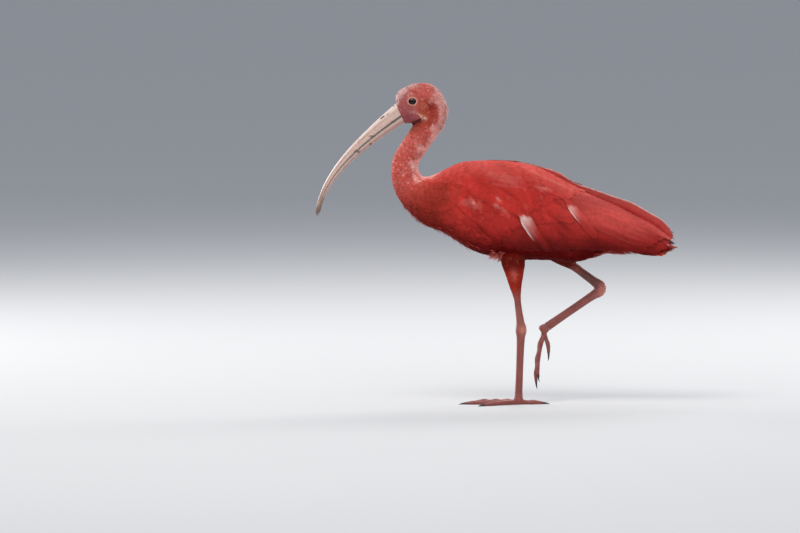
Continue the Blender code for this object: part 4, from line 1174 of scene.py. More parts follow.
def vent_fringe():
    """Frayed soft edge where the belly rises to the tail"""
    count = 110
    turn = rng.uniform(2.7, pi, count) * np.where(rng.random(count) < 0.5, -1, 1)
    roots = np.stack((rng.uniform(20.4, 22.9, count), turn), -1)
    # painted shade: the fringe under the rear belly is darkened
    color = np.tile(blend(PLUME["scarlet"], PLUME["pink"], 0.2), (count, 1)) * 0.6
    rise = rng.uniform(0.6, 2.0, count) + rng.uniform(0.0, 4.0, count) * smooth(21.0, 22.0, roots[:, 0])
    return loose_feathers(roots, rng.uniform(10, 18, count), rng.normal(0, 0.2, count), np.full(count, 3.0),
                          (-0.4, rise), color, PLUME["pink"], rng.uniform(0.1, 0.6, count))


def make_body_coats(materials):
    small, medium, large = barb_template(4), barb_template(6), barb_template(8)
    side = pi / 2

    def side_view(roots):
        here = BODY.base(roots[:, 0], roots[:, 1])
        return here[:, 0], here[:, 2]

    roots = staggered_roots(BODY, 0.25, 7.0, spacing_at, side)
    x, z = side_view(roots)
    roots = roots[bare_face(x, z) < 0.5]

    def head_tip(places, angles, x, z):
        near_face = smooth(9, 0, x - np.interp(z, *np.array(FACE_EDGE, float).T))
        nape = smooth(0.5, 0.15, np.abs(angles)) * smooth(4.0, 5.0, places)
        share = 0.05 + (0.14 + 0.1 * near_face) * rng.random(len(x)) ** 3
        color = blend(np.tile(PLUME["tan"], (len(x), 1)), PLUME["white"], nape)
        return np.maximum(share, nape * rng.uniform(0.1, 0.6, len(x))), color

    def head_lifts(places, angles):
        depth = read_at(COAT_DEPTH, places)[:, 0]
        nape = smooth(0.45, 0.15, np.abs(angles)) * smooth(4.2, 5.0, places)
        low = mix(-0.6 * depth, trunk_lifts(places, angles)[0], smooth(5.5, 7.0, places))
        return low, 0.12 + 0.6 * nape * rng.random(len(places))

    coat_piece("coat_head", [body_coat(roots, small, head_lifts, head_tip), nape_feathers()],
               materials["down"])

    def neck_tip(places, angles, x, z):
        # painted light: pale tips along the neck's front and rear outlines as a rim of light from behind
        edge = smooth(0.75, 1.0, np.abs(np.cos(angles))) * smooth(13, 10, places) * smooth(6.8, 8.0, places)
        share = (0.06 + 0.36 * rng.random(len(x)) ** 5) * smooth(13, 11, places) + 0.45 * edge
        return share, np.tile(blend(PLUME["pink"], PLUME["white"], 0.5), (len(x), 1))

    roots = staggered_roots(BODY, 7.0, 13.2, spacing_at, side)
    coat_piece("coat_neck", [body_coat(roots, medium, trunk_lifts, neck_tip)],
               materials["down"])

    def trunk_tip(places, angles, x, z):
        under = (1 - np.cos(angles)) / 2
        share = np.where(rng.random(len(x)) < 0.08, 0.25, 0.06) * smooth(0.7, 0.4, under)
        return share, np.tile(PLUME["pink"], (len(x), 1)) * 0.8

    roots = staggered_roots(BODY, 13.2, 22.7, spacing_at, side)
    x, z = side_view(roots)
    turn = np.degrees(np.abs(roots[:, 1]))
    under_wing = (x > -42) & (turn > 52) & (turn < 98)
    shown = roots[~under_wing]
    x = x[~under_wing]
    turn = turn[~under_wing]
    for name, chosen, loose in (("coat_breast", x <= -42, [breast_fringe()]), ("coat_back", (x > -42) & (turn < 90), []),
                                ("coat_belly", (x > -42) & (turn >= 90), [thigh_tuft(), vent_fringe()])):
        coat_piece(name, [body_coat(shown[chosen], large, trunk_lifts, trunk_tip), *loose],
                   materials["down"])


# Wings

TIERS = {                    # roots and tips (x, degrees from the top) of first and last feather,
    # width, count, lifts of root and tip, sink of the lowest feather, roundness of the tip
    "primary": (((78, 84), (66, 104)), ((204, 34), (187, 111)), 13, 7, (-2.6, -0.8), 1.2, 0.80),
    "secondary": (((82, 82), (-12, 114)), ((172, 104), (28, 140)), 18, 12, (-1.2, 0.4), 1.2, 0.82),
    "greater covert": (((54, 64), (-26, 100)), ((108, 102), (4, 137)), 16, 14, (-1.0, 0.3), 0.9, 0.72),
    "median covert": (((46, 48), (-36, 84)), ((86, 84), (-12, 120)), 15, 14, (-0.8, 0.5), 0.7, 0.66),
    "tertial": (((58, 64), (66, 24)), ((180, 86), (199, 25)), 19, 5, (0.2, 1.3), 0.8, 0.72),
    "scapular": (((-20, 52), (16, 22)), ((58, 70), (108, 19)), 18, 7, (-0.3, 0.7), 0.5, 0.68),
}
FADED = (                    # sun-bleached feathers of the near wing: root, tip, width, lifts,
    # share of the length that is pale, whiteness
    ((25.8, 83.2), (59.3, 135.7), 13, (1.0, 1.3), 0.78, 1.0),
    ((79, 52), (116, 100), 10, (1.0, 1.6), 0.62, 0.4),
)

FAR_FEATHERS = (             # places of root and tip down from that edge, width, distance outward
    ((118, 6.0), (203.0, 4.4), 11.0, 0.6), ((96, 5.6), (189.5, 5.6), 11.0, 1.3), ((74, 3.8), (150, 4.6), 8.0, 2.0),
    ((36, 3.0), (104, 3.0), 6.0, 2.4), ((14, 2.6), (68, 2.6), 5.0, 2.8),
)
FAR_TOP = (                  # feathers that close its top: root and tip (x, degrees), width, lifts
    ((104, 9), (203.0, 7), 13.0, 0.2, 1.0), ((66, 8), (160, 7), 12.0, 0.6, 1.4), ((16, 8), (98, 7), 11.0, 0.6, 1.8),
)
FAR_TIPS_SHORTER = 4.0       # how much sooner the far wing's primaries end
FEATHER_TILT = 0.05


def tier_runs(first, last, count):
    """Evenly spread places from a first to a last feather, with a little unevenness"""
    share = np.arange(count) / (count - 1)
    runs = mix(np.array(first, float), np.array(last, float), share[:, None])
    runs += rng.normal(0, 1, runs.shape) * (1.2, 0.7)
    return np.stack((runs[:, 0], np.radians(runs[:, 1])), -1)


def vane_tints(color_at, count, edge, edge_share, end, end_share, shaft=0.12):
    """Colours along each vane: painted shade at the root, a paler edge, a darker shaft line and a marked end"""
    own = 1 + rng.normal(0, 0.05, (count, 1))

    def tints(s, c, places):
        shade = mix(0.75, 1.0, smooth(0.1, 0.6, s)) * (1 - shaft * np.exp(-(c / 0.08) ** 2) * (1 - s))
        shade = shade * own * (1 + 0.03 * np.sin(23 * s + 9 * np.abs(c)))
        tint = color_at(*places) * shade[..., None]
        tint = blend(tint, edge, edge_share * smooth(0.72, 1.0, np.abs(c)) * smooth(0.2, 0.7, s))
        return blend(tint, end, smooth(0.94, 0.99, s + 0.03 * np.abs(c)) * end_share[:, None])

    return tints


def wing_covert_rows(side, first, last, span, spacing, length, lie, lifts, template, keep):
    """Small coverts in staggered rows over the front of the wing"""
    wing = WINGS[side]
    roots = staggered_roots(wing, first, last, lambda x: spacing, sum(span) / 2, span)
    roots = roots[keep(roots[:, 0], np.degrees(roots[:, 1]))]
    lengths = length * rng.uniform(0.85, 1.15, len(roots))
    turn = np.degrees(roots[:, 1])
    tips = step_from(wing, roots, lengths, lie(roots[:, 0], turn) + rng.normal(0, 0.08, len(roots)))
    high = lifts[1] + rng.normal(0, 0.06, len(roots))
    own = 1 + rng.normal(0, 0.03, (len(roots), 1))
    pale = np.where(rng.random(len(roots)) < 0.12, 0.3, 0.05)[:, None] * smooth(115, 80, turn)[:, None]

    def tints(s, c, places):
        # painted shade: darker towards each covert's root
        tint = wing_tint(side, *places) * (own * mix(0.9, 1.0, smooth(0.05, 0.6, s)))[..., None]
        return blend(tint, PLUME["pink"], pale * smooth(0.72, 1.0, s))

    return lay_feathers(wing, roots, tips, np.full(len(roots), spacing * 2.2), template, (lifts[0], high),
                        tints, thickness=0.1, camber=0.15, rag=0.1, softness=0.18)


def make_wing(side, materials):
    wing = WINGS[side]
    batches = []
    for tier, (roots, tips, width, count, lifts, sink, roundness) in TIERS.items():
        template = vane_template(20, 11, roundness)
        first_roots, first_tips = tier_runs(*roots, count), tier_runs(*tips, count)
        below = np.arange(count) / (count - 1)
        if tips[1][1] < tips[0][1]:
            below = below[::-1]
        if side == "right" and tier == "primary":
            first_tips[:, 0] -= FAR_TIPS_SHORTER
        dark_ends = (below < 0.1) * float(tier == "primary")
        share = 0.15 if tier in ("tertial", "scapular") else 0.05
        tint = vane_tints(lambda x, angle: wing_tint(side, x, angle), count, PLUME["pink"], share,
                          PLUME["black"], dark_ends)
        batches.append(lay_feathers(
            wing, first_roots, first_tips, np.full(count, float(width)), template,
            (lifts[0] - below * sink, lifts[1] - below * sink), tint, thickness=0.25, camber=0.5, tilt=FEATHER_TILT * wing.outward, bow=-1.5 * wing.outward,
            rag=0.018, softness=0.35))
    if side == "left":
        template = vane_template(20, 11, 0.75)
        for root, tip, width, lifts, reach, white in FADED:
            ends = [np.array([(place[0], radians(place[1]))]) for place in (root, tip)]

            def tints(s, c, places, reach=reach, white=white):
                tint = wing_tint(side, *places)
                pale = smooth(0.16, 0.20, s - 0.06 * c) * smooth(0.95 * reach, 0.15 * reach, s + 0.2 * np.maximum(c, 0))
                bleached = blend(PLUME["faded"], PLUME["white"], 0.6 * white * smooth(0.45, 0.2, s))
                tint = tint + (bleached - tint) * (mix(0.7, 0.94, white) * pale)[..., None]
                edge = smooth(0.7, 1.0, -c) * smooth(0.16, 0.22, s) * smooth(0.85 * reach, 0.6 * reach, s)
                return blend(tint, PLUME["white"], 0.8 * edge)

            batches.append(lay_feathers(wing, *ends, np.array([float(width)]), template, lifts, tints,
                                        thickness=0.3, camber=0.3, tilt=0.0, rag=0.02))
    coat_piece("flight_" + side, batches, materials["vane"], ("wing_" + side,))
    medium = barb_template(8)
    rows = [
        wing_covert_rows(side, -20, 58, (0.6, 2.3), 5.6, 20.0,
                         lambda x, turn: np.radians(mix(22, 50, smooth(45, 100, turn))),
                         (0.3, 0.6), medium,
                         lambda x, turn: x < mix(58.0, -4.0, np.clip((turn - 36) / 80, 0, 1))),
        wing_covert_rows(side, -46, 30, (0.6, 2.05), 4.4, 14.0,
                         lambda x, turn: np.radians(mix(22, 52, smooth(45, 100, turn))),
                         (0.5, 0.9), medium,
                         lambda x, turn: x < mix(30.0, -16.0, np.clip((turn - 36) / 60, 0, 1))),
        wing_covert_rows(side, -46, 84, (0.0, 0.85), 5.4, 24.0, lambda x, turn: 0.12 + 0 * x,
                         (0.8, 1.2), medium,
                         lambda x, turn: (turn > mix(12, 1, smooth(-30, 5, x))) & (x + 0.6 * turn < 92)),
    ]
    coat_piece("coverts_" + side, rows, materials["down"])


def make_far_edge(materials):
    """The far wing's inner feathers, which lean over the middle of the back"""
    def base(x, down):
        edge = read_at(FAR_EDGE, x)[..., 0]
        return np.stack((x + 0 * down, -0.8 - 0.3 * down, edge - down), -1)

    edge = Surface(base, patch=(0.01, 0.835, 0.3, 0.012), span=((60, 215), (-2, 12)))
    batches = []
    for root, tip, width, out in FAR_FEATHERS:
        def tints(s, c, places):
            # painted top light: coral on the upper side; painted shade at the root; a white rim on the upper edge as
            # painted backlight; the whole is also darkened
            color = blend(np.tile(PLUME["coral top light"], (*s.shape, 1)), PLUME["wing"], smooth(0.2, -0.8, -c)) * 0.85
            color = blend(color, PLUME["white"], 0.8 * smooth(0.72, 0.95, -c) * smooth(0.96, 0.85, s))
            return color * mix(0.8, 1.0, smooth(0.0, 0.5, s))[..., None]

        batches.append(lay_feathers(edge, np.array([root], float), np.array([tip], float), np.array([width]),
                                    vane_template(40, 9, 0.86), (out - 1.0, out), tints, thickness=0.25,
                                    camber=0.2, rag=0.03, softness=0.3))
    roots, tips, width, low, high = (np.array(column, float) for column in zip(*FAR_TOP))
    roots, tips = (np.stack((ends[:, 0], np.radians(ends[:, 1])), -1) for ends in (roots, tips))
    plain = vane_tints(lambda x, angle: wing_tint("right", x, angle), len(FAR_TOP), PLUME["pink"], 0.2,
                       PLUME["pink"], np.zeros(len(FAR_TOP)))

    # painted light: a white rim along the upper edge, as light from behind
    def painted_rim_tints(s, c, places):
        rim = smooth(0.78, 0.97, -c) * smooth(0.08, 0.25, s) * smooth(0.97, 0.88, s)
        return blend(plain(s, c, places), PLUME["white"], 0.75 * rim)

    batches.append(lay_feathers(WINGS["right"], roots, tips, width, vane_template(40, 13, 0.86), (low, high), painted_rim_tints,
                                thickness=0.25, camber=0.3, rag=0.03, softness=0.3))
    coat_piece("far_edge", batches, materials["vane"])


# Tail

def make_tail(materials):
    template = vane_template(30, 11, 0.86)
    pairs = 6
    roots, tips, depth = [], [], []
    for pair in range(pairs):
        out = pair / (pairs - 1)
        for sign in (-1, 1):
            roots.append((126 + 2 * pair, sign * mix(1.0, 7.0, out)))
            tips.append((207.0 - 2.3 * pair, sign * mix(1.6, 13.5, out)))
            depth.append(1.0 - pair * 1.0 - 0.3 * (sign > 0))
    roots, tips, depth = (np.array(values, float) for values in (roots, tips, depth))
    color = blend(PLUME["scarlet"], PLUME["wing low"], 0.3)
    tint = vane_tints(lambda x, y: np.tile(color, (*x.shape, 1)), len(roots), PLUME["tail tip"], 0.25,
                      PLUME["tail tip"], np.full(len(roots), 0.7))
    batch = lay_feathers(TAIL, roots, tips, np.full(len(roots), 14.5), template, (depth - 3, depth), tint,
                         thickness=0.35, camber=0.3, rag=0.05)
    coat_piece("tail_feathers", [batch], materials["vane"], ("tail",))


# Bill

BILL_CURVE = ((-110.3, 335.2), (-146.2, 307.6), (-201.2, 266.0), (-205.0, 216.2))
BILL_DEPTH = (24.0, 5.5)
BILL_WIDTH = (14.5, 4.4)
BILL_TAPER = 1.4
MOUTH_LINE = (0.66, 0.55)
MOUTH_GAP = 0.7
GROOVE_ANGLE = 34
NOSTRIL = ((-132.3, 328.9), (-128.3, 332.0))
NOSTRIL_FOLD = ((-126.0, 332.9), (-123.6, 334.8))
BLOTCHES = (                 # dark marks on the horn: middle and size
    ((-142.3, 308.8), (4.5, 1.6)), ((-159.6, 291.5), (5.0, 1.8)), ((-143.5, 300.0), (2.5, 1.4)),
    ((-117.5, 344.5), (1.6, 1.8)), ((-122.5, 341.0), (1.4, 1.2)),
)


def bill_frame(t):
    """Middle line, upward normal, depth and half width along the bill"""
    p0, p1, p2, p3 = (np.array((x, 0.0, z)) for x, z in BILL_CURVE)
    t = t[:, None]
    s = 1 - t
    point = p0 * s ** 3 + 3 * p1 * s * s * t + 3 * p2 * s * t * t + p3 * t ** 3
    along = 3 * ((p1 - p0) * s * s + 2 * (p2 - p1) * s * t + (p3 - p2) * t * t)
    dorsal, ventral, _, _ = SECTIONS["bill base"]
    base_up = unit(np.array((dorsal[0] - ventral[0], 0.0, dorsal[1] - ventral[1])))
    up = unit(np.cross(np.array((0.0, 1.0, 0.0)), along))
    up = unit(mix(base_up, up, np.minimum(t / 0.12, 1)))
    t, s = t[:, 0], s[:, 0]
    depth = mix(BILL_DEPTH[1], BILL_DEPTH[0], s ** BILL_TAPER)
    width = mix(BILL_WIDTH[1], BILL_WIDTH[0], s ** 1.6) / 2
    return point, up, depth, width


def make_bill(materials):
    """Upper and lower halves of the horn, with a groove, nostrils and a mouth gap, and painted shade along the mouth
    line, in the nostrils and along the groove
    """
    t = np.concatenate((np.linspace(0, 0.95, 190), 0.95 + 0.05 * np.sin(np.linspace(0, pi / 2, 16))[1:]))
    for name, upper in (("bill_upper", True), ("bill_lower", False)):
        reach = 1.0 if upper else 0.985
        point, up, depth, width = bill_frame(t * reach)
        mouth = depth * (0.5 - mix(*MOUTH_LINE, t))
        gap = mix(MOUTH_GAP, 0.15, t)
        arc = np.radians(np.linspace(0, 180, 61))
        sign = 1 if upper else -1
        base = mouth + sign * gap / 2
        rise = depth / 2 - sign * mouth - gap / 2
        across = np.cos(arc) * np.ones_like(t)[:, None]
        height = base[:, None] + sign * rise[:, None] * np.sin(arc) ** (0.9 if upper else 0.8)
        dent = np.zeros_like(height)
        if upper:
            flank = np.degrees(np.minimum(arc, pi - arc))
            groove = 1.0 * np.sin(pi * np.minimum(t / 0.9, 1)) ** 0.6
            dent = groove[:, None] * np.exp(-((flank - GROOVE_ANGLE) / 8) ** 2)
            dent -= 0.25 * groove[:, None] * np.exp(-((flank - GROOVE_ANGLE + 16) / 7) ** 2)
        side = across * (width[:, None] - dent)
        floor = np.linspace(-1, 1, 15)[1:-1]
        inner = floor * (width[:, None] - 0.5)
        side = np.concatenate((side, inner), 1)
        hollow = sign * 0.35 * (1 - floor ** 2) * np.ones_like(t)[:, None]
        height = np.concatenate((height, base[:, None] + hollow), 1)
        rings = point[:, None] + up[:, None] * height[..., None]
        rings[..., 1] += side
        close = smooth(0.955, 1.0, t)[:, None, None]
        middle = (point + up * (mouth + sign * 0.5)[:, None])[:, None]
        rings = mix(rings, middle, 0.86 * close ** 2)
        rings = settle_on_head(rings)
        x, z = rings[..., 0], rings[..., 2]
        for line, low in ((NOSTRIL, 0.9), (NOSTRIL_FOLD, 0.4)):
            if upper:
                near = np.exp(-(segment_distance(x, z, line) / 0.7) ** 2) * (np.abs(rings[..., 1]) > 1.2)
                rings[..., 1] -= np.sign(rings[..., 1]) * low * near
        tint = bill_tint(rings, np.tile(t[:, None], (1, rings.shape[1])), height, base, rise, upper)
        horn = tube(name + "_horn", rings, tint)
        orient(horn)
        horn.data.shade_smooth()
        place_piece(horn, materials["bill"], (name,))


def settle_on_head(rings):
    """Bring the first rings onto the plane of the face, just inside the skin"""
    dorsal, ventral, _, _ = SECTIONS["bill base"]
    up = unit(np.array((dorsal[0] - ventral[0], 0.0, dorsal[1] - ventral[1])))
    back = np.cross(np.array((0.0, 1.0, 0.0)), up)
    plane = np.array((dorsal[0], 0.0, dorsal[1])) + back * 1.2
    behind = dot(rings - plane, back)
    first = smooth(0.06, 0.0, np.arange(len(rings)) / len(rings))[:, None]
    push = np.where(np.arange(len(rings))[:, None] == 0, behind, np.maximum(behind, 0) * first)
    return rings - back * push[..., None]


def bill_tint(rings, t, height, base, rise, upper):
    x, z = rings[..., 0], rings[..., 2]
    share = np.clip(np.abs(height - base[:, None]) / rise[:, None], 0, 1)
    if upper:
        # painted highlight: lighter along the top of the upper half
        color = blend(np.tile(HIDE["bill side"], (*t.shape, 1)), HIDE["bill top highlight"], smooth(0.45, 0.95, share))
        # painted shade: a darker band along the groove
        color = blend(color, HIDE["bill low"], 0.5 * np.exp(-((share - 0.55) / 0.12) ** 2))
    else:
        color = blend(np.tile(HIDE["bill side"], (*t.shape, 1)), HIDE["bill low"], smooth(0.1, 0.8, share))
    streak = ripple(x, z, 2.2, -0.8) * ripple(x, z, 5.5, 0.9)
    color = blend(color, HIDE["bill low"], 0.5 * smooth(0.1, 0.8, streak))
    # painted shade: dark along the edges of the mouth gap
    color = blend(color, HIDE["mouth"], 0.95 * smooth(0.14, 0.03, share) * smooth(1.0, 0.9, t))
    if upper:
        # painted shade: a dark line along the groove's outer part
        line = np.exp(-((share - 0.6) / 0.035) ** 2) * smooth(0.14, 0.22, t)
        color = blend(color, HIDE["blotch"], 0.45 * line * smooth(-0.3, 0.5, ripple(x, z, 6, 0.7)))
    for middle, size in BLOTCHES:
        mark = spot(x, z, middle, size) * (1 + 0.6 * ripple(x, z, 0.9, 0.4))
        color = blend(color, HIDE["blotch"], 0.75 * smooth(0.25, 0.8, mark))
    if upper:
        # painted shade: dark in the nostril slit and along the fold behind it
        near = np.exp(-(segment_distance(x, z, NOSTRIL) / 0.9) ** 2)
        color = blend(color, HIDE["mouth"], 0.95 * smooth(0.3, 0.8, near))
        color = blend(color, HIDE["blotch"], 0.6 * np.exp(-(segment_distance(x, z, NOSTRIL_FOLD) / 0.8) ** 2))
    return blend(color, HIDE["bill tip"], smooth(0.72, 1.0, t + 0.04 * ripple(x, z, 3, 0.2)) * 0.85)


# Legs

LEG_STEP = 0.5
SCALE_SIZE = 2.5


def make_legs(materials):
    hexagon = 9
    for side, leg in LEG.items():
        rough_places = np.linspace(THIGH_END - 0.7, 11.985, 400)
        stops = spline(LEGS[side], rough_places)[:, :3]
        length = np.concatenate(([0], np.cumsum(np.linalg.norm(np.diff(stops, axis=0), axis=1))))
        steps = np.arange(0, length[-1], LEG_STEP)
        places = np.interp(steps, length, rough_places)
        sides = 48
        u = np.tile(places[:, None], (1, sides))
        v = np.tile(-pi + 2 * pi * np.arange(sides) / sides, (len(places), 1))
        run = np.tile(steps[:, None], (1, sides))
        column = v / (2 * pi) * hexagon
        scale = np.abs(np.cos(pi * run / SCALE_SIZE) * np.cos(pi * column)) \
            + np.abs(np.sin(pi * run / SCALE_SIZE) * np.sin(pi * column))
        front = smooth(0.5, 0.9, np.cos(v)) * smooth(7.6, 8.6, u)
        shields = np.abs(np.sin(pi * run / (1.3 * SCALE_SIZE))) ** 0.5
        relief = mix(smooth(0.55, 0.95, scale), shields, front)
        joint = np.exp(-((u - 7.6) / 0.9) ** 2)
        wrinkle = joint * 0.25 * np.sin(run * 2.6 + np.cos(v))
        points = leg.point(u, v, 0.3 * (relief - 1) * smooth(THIGH_END, THIGH_END + 0.6, u) + wrinkle - 0.05)
        # painted shade: the far leg's shank is darker
        above, below = ("shank", "tarsus") if side == "left" else ("far shank shade", "tarsus")
        tint = blend(PLUME["thigh"] * 0.8, np.tile(HIDE[above], (*u.shape, 1)), smooth(3.6, 5.2, u))
        tint = blend(tint, HIDE[below], smooth(6.4, 8.2, u))
        tint = blend(tint, HIDE["ankle"], 0.85 * joint * smooth(1.2, -0.4, np.cos(v)))
        tint = blend(tint, HIDE["scale line"], 0.8 * (1 - relief))
        tint = tint * (1 + 0.10 * ripple(run, v * 4, 3.1, 0.8))[..., None]
        skin = tube("leg_skin_" + side, points, tint, leg.unwrap(u, v))
        orient(skin)
        skin.data.shade_smooth()
        place_piece(skin, materials["leg"], ("shank_" + side, "tarsus_" + side))
        make_thigh_coat(side, leg, materials)


def make_thigh_coat(side, leg, materials):
    roots = staggered_roots(leg, 0.02, THIGH_END - 0.15, lambda place: mix(3.0, 1.5, place / THIGH_END), 0.0)
    here = leg.base(roots[:, 0], roots[:, 1])
    lengths = mix(9.0, 5.0, roots[:, 0] / THIGH_END) * rng.uniform(0.85, 1.15, len(roots))
    tips = step_from(leg, roots, lengths, rng.normal(0, 0.12, len(roots)))
    tips[:, 0] = np.minimum(tips[:, 0], 6.0)
    color = np.tile(PLUME["thigh"], (len(roots), 1)) * (1 + 0.15 * ripple(here[:, 0], here[:, 2], 4, 0.5))[:, None]
    # painted shade: the far thigh is darkened
    if side == "right":
        color = color * 0.3
    # painted shade: dark red at the thigh's top, under the belly
    color = blend(color, PLUME["shade maroon"], 0.85 * smooth(1.8, 0.7, roots[:, 0]))
    color = blend(color, HIDE["shank"], 0.8 * smooth(2.6, THIGH_END, roots[:, 0]))
    # painted highlight: a pink spot on the near thigh
    color = blend(color, PLUME["pink"], 0.45 * spot(here[:, 0], here[:, 2], (20, 156), (4, 6)) * (side == "left"))
    share = np.where(rng.random(len(roots)) < 0.1, 0.12, 0.03)
    tint = feather_tints(color, np.tile(PLUME["tan"], (len(roots), 1)), share)
    spacing = mix(3.0, 1.5, roots[:, 0] / THIGH_END)
    lifts = (mix(-1.6, -0.7, smooth(0.3, 1.3, roots[:, 0])), 0.15 + rng.normal(0, 0.06, len(roots)))
    batch = lay_feathers(leg, roots, tips, spacing * 2.0, barb_template(5), lifts, tint,
                         thickness=0.1, camber=0.1, rag=0.14, softness=0.3)
    coat_piece("coat_thigh_" + side, [batch], materials["down"])


# Feet

TOES = {                     # length, turn from straight ahead in degrees, number of joints
    "inner": (47.0, -33, 2),
    "middle": (60.0, -3, 3),
    "outer": (52.0, 29, 3),
    "hind": (27.0, 176, 1),
}
TOE_HALF_WIDTH = (3.3, 1.9)
TOE_HEIGHT = (6.0, 3.6)
TOE_PAD_SWELL = 0.22
FOOT_LEFT = (26.4, -3.0, 0.0)
FOOT_HEIGHT = 9.0
CLAW_GAP = 0.1
CLAW_LENGTH = 9.2
CLAW_DROP = 1.2
HANG_BEND = (-122, 8)
HANG_PIVOT = 4.5
HANG_SPREAD = 0.35
HANG_CURL = 22


def toe_line(share, length, turn, curl):
    """Middle points and slope of a toe that bends down towards its tip"""
    fine = np.linspace(0, 1, 101)
    slope = radians(curl) * fine
    x = np.concatenate(([0], np.cumsum(np.cos(slope[:-1])))) * length / 100
    z = np.concatenate(([0], -np.cumsum(np.sin(slope[:-1])))) * length / 100
    x, z, slope = (np.interp(share, fine, values) for values in (x, z, slope))
    return np.stack((-x * cos(turn), x * sin(turn), z), -1), slope


def toe_rings(share, spec, turn, curl, grow=1.0, sides=24):
    length, _, joints = spec
    point, slope = toe_line(share, length, turn, curl)
    swell = 1 + TOE_PAD_SWELL * np.cos(2 * pi * share * (joints + 0.5))
    half = mix(*TOE_HALF_WIDTH, share) * swell * grow
    height = mix(*TOE_HEIGHT, share) * (0.5 + 0.5 * swell)
    side = np.array((sin(turn), cos(turn), 0.0))
    ahead = np.stack((-cos(turn) * np.cos(slope), sin(turn) * np.cos(slope), -np.sin(slope)), -1)
    up = np.cross(side, ahead)
    up *= np.sign(up[:, 2:])
    angle = 2 * pi * np.arange(sides) / sides
    shield = 0.14 * np.abs(np.sin(pi * share * length / 2.2))[:, None] ** 0.6 * np.maximum(np.sin(angle), 0)
    rise = np.maximum(height[:, None] * (0.32 + 0.68 * np.sin(angle)) * grow + shield, 0)
    across = half[:, None] * np.cos(angle)
    return point[:, None] + side * across[..., None] + up[:, None] * rise[..., None], ahead, up


def claw_rings(spec, turn, curl):
    base, ahead, up = toe_rings(np.array([1.0]), spec, turn, curl, grow=0.9, sides=16)
    base, ahead, up = base[0], ahead[0], up[0]
    middle = base.mean(0)
    share = np.linspace(0, 1, 14)
    size = np.interp(share, (0, 0.35, 0.7, 1.0), (0.9, 0.7, 0.42, 0.08))
    rings = middle + (base - middle)[None] * size[:, None, None]
    rings = rings + (ahead * (CLAW_GAP + CLAW_LENGTH * share[:, None]) - up * CLAW_DROP * share[:, None] ** 2)[:, None]
    low = dot(base, up).min()
    below = np.maximum(low - dot(rings, up), 0)
    return rings + up * below[..., None]


def moved(points, matrix):
    values = np.array(matrix, float)
    return points @ values[:3, :3].T + values[:3, 3]


def lifted_foot_place():
    """Move that sets a foot's top face against the end of the lifted tarsus"""
    end = np.array(LEGS["right"][-1][:3], float)
    before = spline(LEGS["right"], np.array([len(LEGS["right"]) - 1.1]))[0, :3]
    along = Vector(end - before).normalized()
    turn = Vector((0, 0, -1)).rotation_difference(along).to_matrix().to_4x4()
    origin = Vector(end) + along * 0.15 - turn @ Vector((0, 0, FOOT_HEIGHT))
    return Matrix.Translation(origin) @ turn


def make_foot(side, place, materials):
    """Scaled toes on one pad, and a claw for each toe"""
    lifted = side == "right"
    parts = []
    color = HIDE["tarsus"] * 0.85
    for toe, spec in TOES.items():
        out = spec[1] if side == "left" else -spec[1]
        hind = abs(spec[1]) > 90
        turn = radians(out if hind or not lifted else out * HANG_SPREAD)
        curl = HANG_CURL if lifted else 0
        share = np.linspace(0, 1, 90)
        rings, _, _ = toe_rings(share, spec, turn, curl)
        claws = claw_rings(spec, turn, curl)
        move = place
        if lifted:
            pivot = Matrix.Translation(Vector((0, 0, HANG_PIVOT)))
            move = place @ pivot @ Matrix.Rotation(radians(HANG_BEND[hind]), 4, "Y") @ pivot.inverted()
        line = np.abs(np.sin(pi * share * spec[0] / 2.2))[:, None] ** 0.5 * np.ones(rings.shape[1])
        tint = blend(np.tile(color, (*line.shape, 1)), HIDE["scale line"], 0.6 * (1 - line))
        part = tube("toe " + toe, moved(rings, move), tint)
        orient(part)
        parts.append(part)
        tint = np.tile(HIDE["claw"], (*claws.shape[:2], 1)) * mix(1.4, 0.7, np.linspace(0, 1, len(claws)))[:, None, None]
        claw = tube(f"claw_horn_{side}_{toe}", moved(claws, move), tint)
        orient(claw)
        claw.data.shade_smooth()
        place_piece(claw, materials["claw"], (f"claw_{side}_{toe}",))
    z = np.linspace(0, FOOT_HEIGHT + 0.2, 24)
    radius = np.interp(z, (0, 2.5, 6, FOOT_HEIGHT), (4.6, 5.8, 5.6, 4.6))
    angle = 2 * pi * np.arange(32) / 32
    pad = np.stack((radius[:, None] * np.cos(angle), 0.86 * radius[:, None] * np.sin(angle), z[:, None] + 0 * angle), -1)
    part = tube("pad", moved(pad, place), np.tile(color, (*pad.shape[:2], 1)))
    orient(part)
    parts.append(part)
    if not lifted:
        parts += [web(first, second, place, color) for first, second in (("inner", "middle"), ("middle", "outer"))]
    foot = join("foot_skin_" + side, parts)
    place_piece(foot, materials["leg"], ("foot_" + side,))


def web(first, second, place, color):
    """Small fold of skin between the roots of two toes"""
    turns = [radians(TOES[toe][1]) for toe in (first, second)]
    fan = np.linspace(*turns, 13)
    reach = 15.0 - 6.5 * np.sin(pi * np.linspace(0, 1, 13))
    share = np.linspace(0.1, 1, 8)[:, None]
    x, y = -np.cos(fan) * reach * share, np.sin(fan) * reach * share
    upper = np.stack((x, y, np.full(x.shape, 1.9)), -1)
    lower = np.stack((x, y, np.full(x.shape, 0.6)), -1)[:, ::-1]
    rings = moved(np.concatenate((upper, lower), 1), place)
    part = tube("web", rings, np.tile(color * 0.9, (*rings.shape[:2], 1)))
    orient(part)
    return part


# Studio

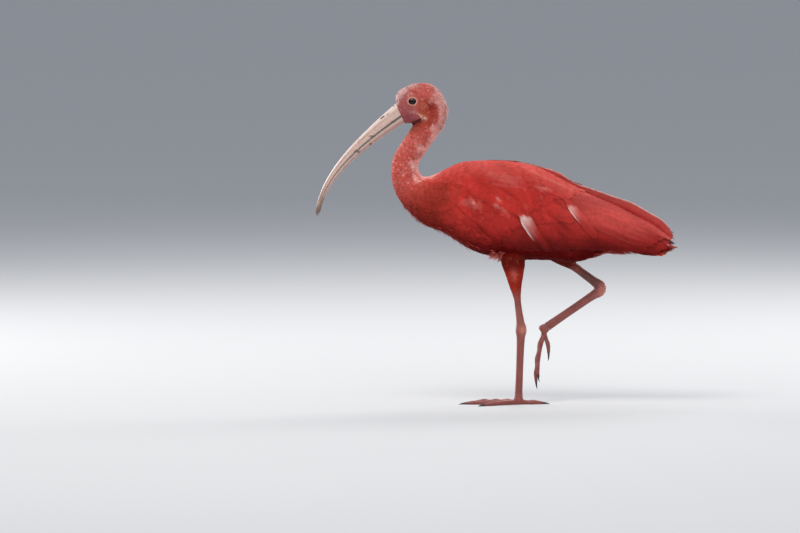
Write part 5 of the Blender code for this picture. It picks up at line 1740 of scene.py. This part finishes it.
def make_stage():
    """A pale floor, soft lights and the camera at the photograph's angle"""
    bpy.ops.mesh.primitive_plane_add(size=30, location=(0, 0, 0))
    floor = bpy.context.active_object
    floor.name = "floor"
    pale = bpy.data.materials.new("pale floor")
    pale.use_nodes = True
    shader = pale.node_tree.nodes["Principled BSDF"]
    shader.inputs["Base Color"].default_value = (0.54, 0.55, 0.56, 1)
    shader.inputs["Roughness"].default_value = 0.9
    floor.data.materials.append(pale)
    world = bpy.data.worlds.new("studio")
    world.use_nodes = True
    world.node_tree.nodes["Background"].inputs["Color"].default_value = (0.86, 0.90, 1.0, 1)
    world.node_tree.nodes["Background"].inputs["Strength"].default_value = 0.5
    bpy.context.scene.world = world
    for name, place, size, power, color in (
            ("key", (-0.7, -1.3, 2.4), 1.1, 38, (1.0, 0.96, 0.90)),
            ("rim", (0.4, 1.5, 1.9), 1.2, 22, (1.0, 0.98, 0.95)),
            ("rim front", (-1.7, 1.1, 0.9), 0.8, 24, (1.0, 0.98, 0.95)),
            ("rim rear", (1.7, 1.3, 1.0), 0.8, 20, (1.0, 0.98, 0.95)),
            ("fill", (0.8, -2.8, 1.5), 1.2, 12, (0.92, 0.95, 1.0))):
        lamp = bpy.data.lights.new(name, "AREA")
        lamp.size, lamp.energy, lamp.color = size, power, color
        obj = bpy.data.objects.new(name, lamp)
        obj.location = place
        aim = Vector((0, 0, 0.22)) - Vector(place)
        obj.rotation_euler = aim.to_track_quat("-Z", "Y").to_euler()
        bpy.context.scene.collection.objects.link(obj)
    camera_data = bpy.data.cameras.new("camera")
    camera_data.lens, camera_data.sensor_width = LENS, SENSOR
    camera = bpy.data.objects.new("camera", camera_data)
    middle = Vector(((PICTURE[0] / 2 - PICTURE_ORIGIN[0]) * PIXEL, 0, (PICTURE_ORIGIN[1] - PICTURE[1] / 2) * PIXEL)) * MM
    distance = PICTURE[0] * PIXEL * MM * LENS / SENSOR
    tilt = radians(CAMERA_ELEVATION)
    back = Vector((0, -cos(tilt), sin(tilt)))
    camera.location = middle + back * distance
    camera.rotation_euler = (-back).to_track_quat("-Z", "Y").to_euler()
    camera_data.clip_end = 100
    bpy.context.scene.collection.objects.link(camera)
    bpy.context.scene.camera = camera
    bpy.context.scene.view_settings.view_transform = "Standard"


def build():
    materials = make_materials()
    make_stage()
    make_skin(materials)
    make_eyes(materials)
    make_bill(materials)
    make_legs(materials)
    make_foot("left", Matrix.Translation(Vector(FOOT_LEFT)), materials)
    make_foot("right", lifted_foot_place(), materials)
    make_body_coats(materials)
    for side in WINGS:
        make_wing(side, materials)
    make_far_edge(materials)
    make_tail(materials)


build()
